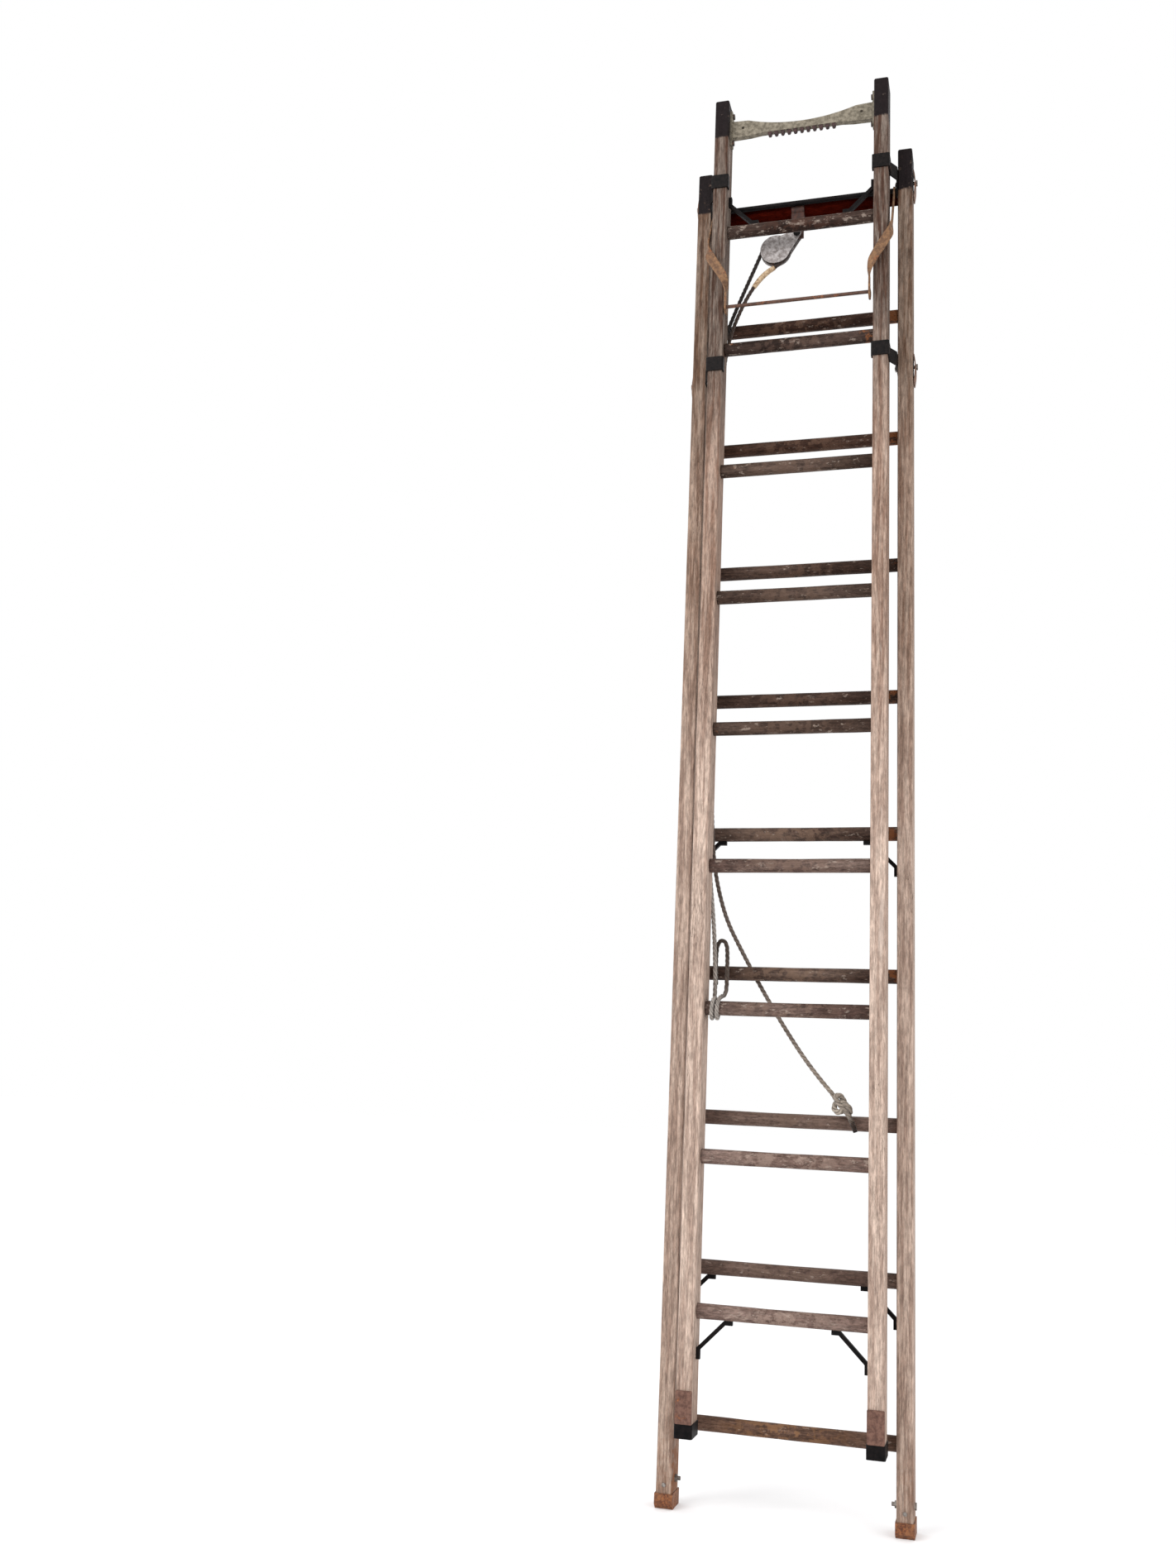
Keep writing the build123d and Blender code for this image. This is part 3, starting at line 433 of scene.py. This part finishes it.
def rail_finish(name, pale, mid, brown, paint_from, grime_from):
    """Weathered rail: pale low down and brown at the top, streaked along the grain, painted at its end."""
    material, tree, shader = new_finish(name, Specular_IOR_Level=0.1)
    place = node(tree, "TexCoord").outputs["Object"]
    height = node(tree, "SeparateXYZ", {0: place}).outputs[2]
    grain = fill_group(tree, wood_grain, {"Place": place, "Fineness": 1.0})
    wobble = speckle(tree, place, 5.0, 3.0, 0.5, (1, 1, 0.3))
    shift = sum_of(tree, "MULTIPLY", sum_of(tree, "SUBTRACT", wobble, 0.5), 0.5)
    share = sum_of(tree, "DIVIDE", sum_of(tree, "ADD", height, shift), full_height)
    tone = bands(tree, share, [(0.0, mid), (0.1, pale), (0.42, pale), (0.6, mid),
                                (0.71, mid), (0.79, brown), (1.0, brown)])
    streak = level(tree, grain.outputs["Streak"], 0.36, 0.66)
    streaked = mixed(tree, streak, mixed(tree, 0.42, tone, dark_streak), mixed(tree, 0.22, tone, pale_streak))
    fleck = speckle(tree, place, 210.0, 6.0, 0.75, (1, 1, 0.22))
    fibre = sum_of(tree, "MULTIPLY", level(tree, grain.outputs["Fibre"], 0.32, 0.68, 0.8, 1.16),
                   level(tree, fleck, 0.36, 0.64, 0.72, 1.2))
    grey = node(tree, "CombineColor", {0: fibre, 1: fibre, 2: fibre}).outputs[0]
    fibrous = mixed(tree, 1.0, streaked, grey, "MULTIPLY")
    split = sum_of(tree, "MULTIPLY", grain.outputs["Split"], patches(tree, place, 9.0, 0.42, (1, 1, 0.25)))
    checked = mixed(tree, sum_of(tree, "MULTIPLY", split, 0.75), fibrous, shade(58, 40, 31))
    grime = patches(tree, place, 26.0, 0.36, (1, 1, 0.16))
    grime_share = level(tree, height, grime_from, 2.75, 0.18, 0.85)
    grimed = mixed(tree, sum_of(tree, "MULTIPLY", grime, grime_share), checked, shade(62, 43, 33))
    bleached = patches(tree, place, 34.0, 0.3, (1, 1, 0.1))
    worn = mixed(tree, sum_of(tree, "MULTIPLY", bleached, 0.35), grimed, shade(206, 192, 181))
    foot = sum_of(tree, "MULTIPLY", level(tree, height, 0.09, 0.2, 1.0, 0.0),
                  patches(tree, place, 24.0, 0.55))
    from_middle = node(tree, "Math", {0: node(tree, "SeparateXYZ", {0: place}).outputs[0]},
                       operation="ABSOLUTE").outputs[0]
    inner_face = level(tree, from_middle, 0.222, 0.2245, 1.0, 0.25)
    rusty_foot = sum_of(tree, "MULTIPLY", sum_of(tree, "MULTIPLY", foot, inner_face), 0.8)
    worn = mixed(tree, rusty_foot, worn, shade(122, 74, 42))
    edge = sum_of(tree, "ADD", height, sum_of(tree, "MULTIPLY", speckle(tree, place, 60.0, 5.0), 0.016))
    painted = level(tree, edge, paint_from + 0.006, paint_from + 0.012)
    flaked = sum_of(tree, "SUBTRACT", 1.0, sum_of(tree, "MULTIPLY", patches(tree, place, 90.0, 0.3), 0.55))
    painted = sum_of(tree, "MULTIPLY", painted, flaked)
    charcoal = mixed(tree, speckle(tree, place, 140.0), shade(7, 4, 5), shade(36, 27, 28))
    tree.links.new(mixed(tree, painted, worn, charcoal), shader.inputs["Base Color"])
    rough = level(tree, grain.outputs["Streak"], 0.3, 0.7, 0.62, 0.88)
    tree.links.new(sum_of(tree, "SUBTRACT", rough, sum_of(tree, "MULTIPLY", painted, 0.18)),
                   shader.inputs["Roughness"])
    relief = sum_of(tree, "SUBTRACT", sum_of(tree, "MULTIPLY", grain.outputs["Fibre"], 0.6), split)
    bump = node(tree, "Bump", {"Height": relief, "Strength": 0.55, "Distance": 0.0008})
    tree.links.new(bump.outputs[0], shader.inputs["Normal"])
    return material


def dress(material, *nodes):
    """Gives CAD nodes a finish in place of the plain one that they came with."""
    for name in nodes:
        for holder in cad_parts[name].material_slots:
            holder.material = material


fly_paint_from, base_paint_from, grime_from = 3.068, 2.913, (2.15, 2.2)
dress(rail_finish("fly_rail_wood", shade(188, 164, 149), shade(142, 114, 98), shade(50, 31, 21),
                  fly_paint_from, grime_from[0]),
      "fly_rail_left", "fly_rail_right")
dress(rail_finish("base_rail_wood", shade(180, 156, 141), shade(142, 116, 99), shade(98, 74, 56),
                  base_paint_from, grime_from[1]),
      "base_rail_left", "base_rail_right")

# ---- Rungs ---------------------------------------------------------------------------------
# Turned hardwood rungs with thinner tenons glued into the rails, dark with handling, worn a little
# flat on top by boots, dented, and stained orange beside the irons.
rung_radius, tenon_radius, tenon_depth = 0.0155, 0.011, 0.024
rung_pitch, first_base_rung, first_fly_rung, fly_rung_y = 0.3048, 0.165, 0.390, -0.066
rung_shrink, dent_depth = 0.0003, 0.00007


def turned_rung(name, reach, y, z, worn, seed):
    """A round bar along x. Its radius is the turned one, less a soft hollow that boots wore on top in
    the middle, less ripples that are products of sines along and round it. At both ends the radius
    steps down to the tenon's."""
    chance = np.random.default_rng(seed)
    inner = np.linspace(-reach, reach, 121)
    x = np.concatenate([[-reach - tenon_depth, -reach - 1e-5], inner, [reach + 1e-5, reach + tenon_depth]])
    angle = np.linspace(0, 2 * np.pi, 36, endpoint=False)
    along, round_it = np.meshgrid(x, angle, indexing="ij")
    hollow = worn * np.exp(-(along / (0.55 * reach)) ** 2) * np.clip(np.sin(round_it), 0, 1) ** 2
    shift = chance.uniform(0, 2 * np.pi, (5, 2))
    rate = chance.uniform(9, 75, 5)
    turns = chance.integers(1, 5, 5)
    ripple = sum(np.sin(r * along + s[0]) * np.sin(t * round_it + s[1])
                 for r, t, s in zip(rate, turns, shift))
    radius = rung_radius - rung_shrink - hollow + dent_depth * ripple
    radius = np.where(np.abs(along) > reach, tenon_radius, radius)
    rings = np.stack([along, y + radius * np.cos(round_it), z + radius * np.sin(round_it)], axis=-1)
    piece = skin(name, rings)
    smooth = np.ones(len(piece.data.polygons), bool)
    smooth[-2:] = False
    piece.data.polygons.foreach_set("use_smooth", smooth)
    return piece


def rung_finish(name, dark, mid, worn, tread, rust_ends, reach, gloss=0.08):
    """Handled rung: mottled along the grain, rubbed pale on a share of it, with rust at its ends."""
    material, tree, shader = new_finish(name, Specular_IOR_Level=gloss)
    place = node(tree, "TexCoord").outputs["Object"]
    parts = node(tree, "SeparateXYZ", {0: place})
    lengthwise = node(tree, "CombineXYZ", {0: parts.outputs[2], 1: parts.outputs[1],
                                           2: parts.outputs[0]}).outputs[0]
    grain = fill_group(tree, wood_grain, {"Place": lengthwise, "Fineness": 0.9})
    bar = speckle(tree, place, 11.0, 3.0, 0.5, (0.35, 1, 1))
    tone = mixed(tree, level(tree, bar, 0.36, 0.64), dark, mid)
    streaked = mixed(tree, level(tree, grain.outputs["Streak"], 0.36, 0.64, 0.0, 0.55), tone, dark)
    fleck = speckle(tree, place, 230.0, 6.0, 0.78, (0.3, 1, 1))
    fibre = sum_of(tree, "MULTIPLY", level(tree, grain.outputs["Fibre"], 0.3, 0.7, 0.8, 1.16),
                   level(tree, fleck, 0.34, 0.66, 0.55, 1.38))
    grey = node(tree, "CombineColor", {0: fibre, 1: fibre, 2: fibre}).outputs[0]
    fibrous = mixed(tree, 1.0, streaked, grey, "MULTIPLY")
    rubbed = sum_of(tree, "MULTIPLY", patches(tree, place, 105.0, worn, (0.5, 1, 1)), 0.5)
    pale = mixed(tree, rubbed, fibrous, shade(176, 160, 148))
    from_middle = node(tree, "Math", {0: parts.outputs[0]}, operation="ABSOLUTE").outputs[0]
    middle = sum_of(tree, "MULTIPLY", level(tree, from_middle, 0.02, 0.17, 1.0, 0.0),
                    patches(tree, place, 46.0, 0.6))
    trodden = mixed(tree, sum_of(tree, "MULTIPLY", middle, 0.5), pale, tread)
    ends = sum_of(tree, "MULTIPLY", level(tree, from_middle, reach - 0.05, reach - 0.004),
                  patches(tree, place, 42.0, rust_ends))
    rusty = mixed(tree, sum_of(tree, "MULTIPLY", ends, 0.85), trodden, shade(136, 84, 50))
    tree.links.new(rusty, shader.inputs["Base Color"])
    tree.links.new(level(tree, grain.outputs["Streak"], 0.3, 0.7, 0.42, 0.68), shader.inputs["Roughness"])
    relief = sum_of(tree, "SUBTRACT", grain.outputs["Fibre"],
                    sum_of(tree, "MULTIPLY", grain.outputs["Split"], 0.8))
    bump = node(tree, "Bump", {"Height": relief, "Strength": 0.4, "Distance": 0.0006})
    tree.links.new(bump.outputs[0], shader.inputs["Normal"])
    return material


base_reach, fly_reach = 0.222, 0.172
rung_dark, rung_mid = shade(60, 44, 37), shade(98, 81, 72)
top_dark, top_mid = shade(42, 25, 18), shade(74, 52, 42)
base_rung_kinds = {
    1: rung_finish("base_rung_foot_worn", shade(76, 54, 42), shade(108, 84, 72), 0.3,
                   shade(146, 106, 72), 0.3, base_reach),
    2: rung_finish("base_rung_low", shade(80, 62, 55), shade(116, 97, 88), 0.3,
                   shade(110, 90, 78), 0.2, base_reach),
    4: rung_finish("base_rung_middle", rung_dark, rung_mid, 0.34,
                   shade(124, 100, 84), 0.62, base_reach),
    6: rung_finish("base_rung_upper", shade(46, 31, 24), shade(80, 63, 55), 0.3,
                   shade(92, 70, 58), 0.4, base_reach),
    8: rung_finish("base_rung_high", top_dark, top_mid, 0.3, shade(100, 76, 62), 0.75, base_reach),
    10: rung_finish("base_rung_top", shade(30, 3, 1), shade(60, 12, 5), 0.0,
                    shade(56, 12, 6), 0.1, base_reach, gloss=0.0),
}
fly_rung_kinds = {
    1: rung_finish("fly_rung_low", shade(98, 78, 70), shade(140, 119, 111), 0.4,
                   shade(160, 138, 126), 0.1, fly_reach),
    3: rung_finish("fly_rung_middle", shade(74, 56, 50), shade(112, 94, 86), 0.38,
                   shade(122, 100, 88), 0.2, fly_reach),
    5: rung_finish("fly_rung_upper", shade(54, 40, 33), shade(86, 70, 62), 0.34,
                   shade(98, 78, 66), 0.3, fly_reach),
    8: rung_finish("fly_rung_high", shade(38, 26, 21), shade(74, 59, 53), 0.36,
                   shade(94, 74, 64), 0.4, fly_reach),
    9: rung_finish("fly_rung_top", shade(36, 22, 17), shade(78, 63, 56), 0.44,
                   shade(76, 50, 40), 0.25, fly_reach),
}


def kind_for(kinds, number):
    """The finish of the nearest kind at or below a rung's number."""
    return kinds[max(first for first in kinds if first <= number)]


for number in range(1, 11):
    rung = turned_rung(f"worn_base_rung_{number:02d}", base_reach, 0.0,
                       first_base_rung + rung_pitch * (number - 1),
                       0.0012 if number < 4 else 0.0006, number)
    rung.data.materials.append(kind_for(base_rung_kinds, number))
    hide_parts(f"base_rung_{number:02d}")
    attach(rung, "base")
for number in range(1, 10):
    rung = turned_rung(f"worn_fly_rung_{number:02d}", fly_reach, fly_rung_y,
                       first_fly_rung + rung_pitch * (number - 1),
                       0.0009 if number < 6 else 0.0005, 20 + number)
    rung.data.materials.append(kind_for(fly_rung_kinds, number))
    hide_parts(f"fly_rung_{number:02d}")
    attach(rung, "fly")

# ---- Irons: braces, guide irons, brackets and end caps -------------------------------------
# Forged strap, bar and round iron, once painted black, dulled to brown in places and blooming
# orange where water sits.
rust_bloom, bloom_in, bloom_out = new_group(
    "rust_bloom", [("Place", "Vector", None), ("Size", "Float", 40.0), ("Cover", "Float", 0.4)],
    [("Mask", "Float"), ("Colour", "Color"), ("Height", "Float")])
bloom_grit = sum_of(rust_bloom, "MULTIPLY", bloom_in.outputs["Size"], 6.0)
bloom_fine = node(rust_bloom, "TexNoise", {"Vector": bloom_in.outputs["Place"], "Detail": 8.0,
                                           "Roughness": 0.72, "Scale": bloom_grit}).outputs["Fac"]
bloom_edge = node(rust_bloom, "Group", {}, node_tree=rub_mask)
rust_bloom.links.new(bloom_in.outputs["Place"], bloom_edge.inputs["Place"])
rust_bloom.links.new(bloom_in.outputs["Size"], bloom_edge.inputs["Scale"])
rust_bloom.links.new(bloom_in.outputs["Cover"], bloom_edge.inputs["Cover"])
rust_bloom.links.new(bloom_edge.outputs["Mask"], bloom_out.inputs["Mask"])
rust_bloom.links.new(bands(rust_bloom, bloom_fine, [(0.3, shade(58, 30, 20)), (0.46, shade(98, 56, 34)),
                                                    (0.58, shade(140, 84, 48)), (0.72, shade(176, 118, 74))]),
                     bloom_out.inputs["Colour"])
rust_bloom.links.new(bloom_fine, bloom_out.inputs["Height"])


def iron_finish(name, skin_dark, skin_pale, rust, size=38.0, metal=0.35, rough=0.5, gloss=0.5):
    """Old iron: a mottled skin with rust over a share of it, which is rougher and less metallic."""
    material, tree, shader = new_finish(name, Specular_IOR_Level=gloss)
    place = node(tree, "TexCoord").outputs["Object"]
    mottle = level(tree, speckle(tree, place, 120.0, 6.0, 0.65), 0.34, 0.66)
    skin_tone = mixed(tree, mottle, skin_dark, skin_pale)
    bloom = fill_group(tree, rust_bloom, {"Place": place, "Size": size, "Cover": rust})
    tree.links.new(mixed(tree, bloom.outputs["Mask"], skin_tone, bloom.outputs["Colour"]),
                   shader.inputs["Base Color"])
    tree.links.new(level(tree, bloom.outputs["Mask"], 0.0, 1.0, metal, 0.05), shader.inputs["Metallic"])
    grit = sum_of(tree, "MULTIPLY", bloom.outputs["Height"], 0.25)
    tree.links.new(sum_of(tree, "ADD", level(tree, bloom.outputs["Mask"], 0.0, 1.0, rough - 0.1, 0.72), grit),
                   shader.inputs["Roughness"])
    bump = node(tree, "Bump", {"Height": bloom.outputs["Height"], "Strength": 0.5, "Distance": 0.0007})
    tree.links.new(bump.outputs[0], shader.inputs["Normal"])
    return material


black_iron = iron_finish("black_iron", shade(4, 3, 4), shade(20, 15, 15), 0.08, metal=0.0, gloss=0.1)
dress(black_iron, "base_brace_low_left", "base_brace_low_right", "base_brace_mid_left",
      "base_brace_mid_right", "fly_brace_bottom_left", "fly_brace_bottom_right",
      "fly_brace_top_left", "fly_brace_top_right",
      "fly_end_caps", "lock_brackets", "lock_shaft", "pulley_bolt")
dress(iron_finish("guide_iron_black", shade(5, 4, 4), shade(24, 18, 17), 0.26, 30.0, 0.0, 0.5, 0.12),
      "guide_iron_upper_left", "guide_iron_upper_right", "guide_iron_lower_left", "guide_iron_lower_right")
dress(iron_finish("backing_plate_rust", shade(92, 66, 52), shade(128, 100, 84), 0.5, 34.0, 0.15, 0.6),
      "guide_backing_plates")
dress(iron_finish("hanger_iron", shade(40, 20, 14), shade(74, 40, 28), 0.15, 40.0, 0.25, 0.55),
      "pulley_hanger")
dress(iron_finish("end_plate_rust", shade(84, 54, 43), shade(118, 84, 70), 0.3, 46.0, 0.2, 0.6),
      "fly_end_plates")
dress(iron_finish("bolt_steel", shade(96, 88, 82), shade(164, 158, 152), 0.25, 90.0, 0.85, 0.42),
      "guide_bolts", "base_foot_bolts")
dress(iron_finish("strap_bolt_steel", shade(34, 28, 26), shade(74, 64, 58), 0.35, 80.0, 0.6, 0.5),
      "pole_strap_bolts")

# ---- Shoes ---------------------------------------------------------------------------------
# Sheet iron shoes nailed over the base rails' feet, rusted orange all over.
dress(iron_finish("shoe_rust", shade(96, 56, 34), shade(146, 94, 56), 0.5, 40.0, 0.1, 0.65),
      "base_shoe_left", "base_shoe_right")

# ---- Rung lock -----------------------------------------------------------------------------
# Two flat straps, each twisted a quarter turn to cross the front of its fly rail and a quarter
# turn back to its hook, eyed over the shaft, and a rod that ties the hooks together.
lock_rust = iron_finish("lock_rust", shade(88, 60, 40), shade(134, 98, 66), 0.34, 34.0, 0.2, 0.6)
shaft_y, shaft_z, arm_width, arm_thickness = -0.025, 2.914, 0.015, 0.004
gap_x, hook_x, eye_steps = 0.2135, 0.165, 48
arm_stations = np.array([
    (gap_x, -0.0285, 2.907), (gap_x, -0.06, 2.845), (gap_x, -0.087, 2.792), (0.212, -0.1035, 2.762),
    (0.205, -0.1118, 2.744), (0.188, -0.1122, 2.716), (0.172, -0.1122, 2.690), (0.1655, -0.109, 2.668),
    (hook_x, -0.1070, 2.648), (hook_x, -0.1070, 2.612)])
in_the_gap, across_the_rail, behind = (0.0, -0.892, 0.452), (-0.77, 0.0, 0.64), (0.0, 1.0, 0.0)
arm_broad_ways = np.array([in_the_gap] * 3 + [(-0.5, -0.6, 0.62)] + [across_the_rail] * 3
                          + [(-0.6, 0.7, 0.4)] + [behind] * 2)
arm_widths = arm_width * np.array([1.0, 1.0, 1.05, 1.3, 1.5, 1.5, 1.35, 1.1, 1.0, 1.0])


def twisted_strap(name, stations, broad_ways, widths):
    """A flat bar along the smooth line that the stations pull. Its width and its broad way change
    evenly from station to station, and its outline is a rectangle with rounded edges: at angle a
    the half width and the half thickness are multiplied by the 0.3 powers of cos a and sin a, with
    their signs."""
    line, distance = along_route([tuple(p) for p in stations], 0.002)
    steps = np.linalg.norm(np.diff(stations, axis=0), axis=1)
    marks = np.concatenate([[0], np.cumsum(steps)]) / steps.sum() * distance[-1]
    broad = np.column_stack([np.interp(distance, marks, broad_ways[:, i]) for i in range(3)])
    tangent = np.gradient(line, axis=0)
    tangent /= np.linalg.norm(tangent, axis=1, keepdims=True)
    broad -= np.sum(broad * tangent, axis=1, keepdims=True) * tangent
    broad /= np.linalg.norm(broad, axis=1, keepdims=True)
    thin = np.cross(tangent, broad)
    angle = np.linspace(0, 2 * np.pi, 28, endpoint=False)
    half_width = (np.interp(distance, marks, widths)[:, None] / 2
                  * np.sign(np.cos(angle)) * np.abs(np.cos(angle)) ** 0.3)
    half_thickness = arm_thickness / 2 * np.sign(np.sin(angle)) * np.abs(np.sin(angle)) ** 0.3
    return skin(name, line[:, None, :] + half_width[..., None] * broad[:, None, :]
                + half_thickness[None, :, None] * thin[:, None, :])


hook_outline = np.array([(-0.1145, 2.634), (-0.0995, 2.634), (-0.0995, 2.6241), (-0.0825, 2.6232),
                         (-0.0825, 2.6145), (-0.0915, 2.599), (-0.102, 2.5962), (-0.1145, 2.604)])
for word, side in (("left", -1), ("right", 1)):
    mirrored = np.array([side, 1, 1])
    arm = twisted_strap(f"lock_strap_{word}", arm_stations * mirrored, arm_broad_ways * mirrored, arm_widths)
    eye_turn = np.linspace(0, 2 * np.pi, eye_steps, endpoint=False)
    eye_outline = np.array([(-0.002, 0.00615), (0.002, 0.00615), (0.002, 0.0094), (-0.002, 0.0094)])
    eye = skin(f"lock_eye_{word}", np.stack([
        np.broadcast_to(side * gap_x + eye_outline[:, 0], (eye_steps, 4)),
        shaft_y + np.outer(np.cos(eye_turn), eye_outline[:, 1]),
        shaft_z + np.outer(np.sin(eye_turn), eye_outline[:, 1])], axis=-1), looped=True)
    hook = skin(f"lock_hook_{word}", np.stack([
        np.column_stack([np.full(len(hook_outline), side * hook_x + x), hook_outline])
        for x in (-0.00205, 0.00205)]))
    hook.modifiers.new("filed_edges", "BEVEL").width = 0.0007
    for piece in (arm, eye, hook):
        if piece is not arm:
            piece.data.polygons.foreach_set("use_smooth", np.zeros(len(piece.data.polygons), bool))
        piece.data.materials.append(lock_rust)
        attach(piece, "lock")
    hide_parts(f"lock_arm_{word}")
dress(iron_finish("lock_rod_rust", shade(58, 36, 26), shade(92, 60, 44), 0.4, 40.0, 0.2, 0.55), "lock_rod")

# ---- Pole strap ----------------------------------------------------------------------------
# A dull cast strap that rests on a pole, screwed between the tops of the fly rails, with buds of
# hardened rubber under it.
dress(iron_finish("cast_strap", shade(92, 84, 70), shade(138, 129, 113), 0.1, 30.0, 0.25, 0.6), "pole_strap")
dress(iron_finish("strap_rubber", shade(34, 18, 18), shade(66, 36, 34), 0.1, 60.0, 0.0, 0.62),
      "pole_strap_teeth")

# ---- Pulley block --------------------------------------------------------------------------
# Two galvanised cheeks with a riveted axle, hung by a bolt from a strap round the top base rung,
# and a cast sheave that the rope has polished.
dress(iron_finish("galvanised_cheek", shade(126, 118, 115), shade(186, 180, 178), 0.1, 60.0, 0.55, 0.5),
      "pulley_cheeks", "pulley_axle")
dress(iron_finish("sheave_cast", shade(74, 64, 58), shade(120, 108, 100), 0.3, 60.0, 0.6, 0.45), "sheave")

# ---- Floor and light -----------------------------------------------------------------------
# A plain white studio floor that runs into a white surround, one broad soft lamp to the front left
# and a weaker one to the right.
floor_half = 40.0
floor_mesh = bpy.data.meshes.new("studio_floor")
floor_mesh.from_pydata([(-floor_half, -floor_half, 0), (floor_half, -floor_half, 0),
                        (floor_half, floor_half, 0), (-floor_half, floor_half, 0)], [], [(0, 1, 2, 3)])
studio_floor = bpy.data.objects.new("studio_floor", floor_mesh)
bpy.context.scene.collection.objects.link(studio_floor)
floor_finish, floor_tree, floor_shader = new_finish("studio_floor", Roughness=0.9, Specular_IOR_Level=0.0,
                                                    Emission_Color=(1, 1, 1, 1), Emission_Strength=0.07)
floor_place = node(floor_tree, "TexCoord").outputs["Object"]
floor_tone = mixed(floor_tree, speckle(floor_tree, floor_place, 2.0),
                   shade(246, 246, 247), shade(250, 250, 251))
floor_tree.links.new(floor_tone, floor_shader.inputs["Base Color"])
floor_mesh.materials.append(floor_finish)

surround = bpy.data.worlds.new("white_surround")
surround.use_nodes = True
surround.node_tree.nodes["Background"].inputs["Color"].default_value = (1, 1, 1, 1)
surround.node_tree.nodes["Background"].inputs["Strength"].default_value = 1.0
bpy.context.scene.world = surround
bpy.context.scene.view_settings.view_transform = "Standard"


def soft_lamp(name, place, aim, size, watts):
    """A square area lamp turned to face a point."""
    lamp_data = bpy.data.lights.new(name, "AREA")
    lamp_data.size = size
    lamp_data.energy = watts
    lamp = bpy.data.objects.new(name, lamp_data)
    bpy.context.scene.collection.objects.link(lamp)
    towards = np.array(aim) - np.array(place)
    back = -towards / np.linalg.norm(towards)
    right = np.cross((0, 0, 1), back)
    right /= np.linalg.norm(right)
    up = np.cross(back, right)
    lamp.matrix_world = Matrix([(*axes, at) for *axes, at in zip(right, up, back, place)] + [(0, 0, 0, 1)])


soft_lamp("key_lamp", (-2.2, -3.4, 3.6), (0, 0, 1.4), 2.6, 90.0)
soft_lamp("fill_lamp", (3.2, -2.2, 2.2), (0, 0, 1.4), 2.6, 30.0)
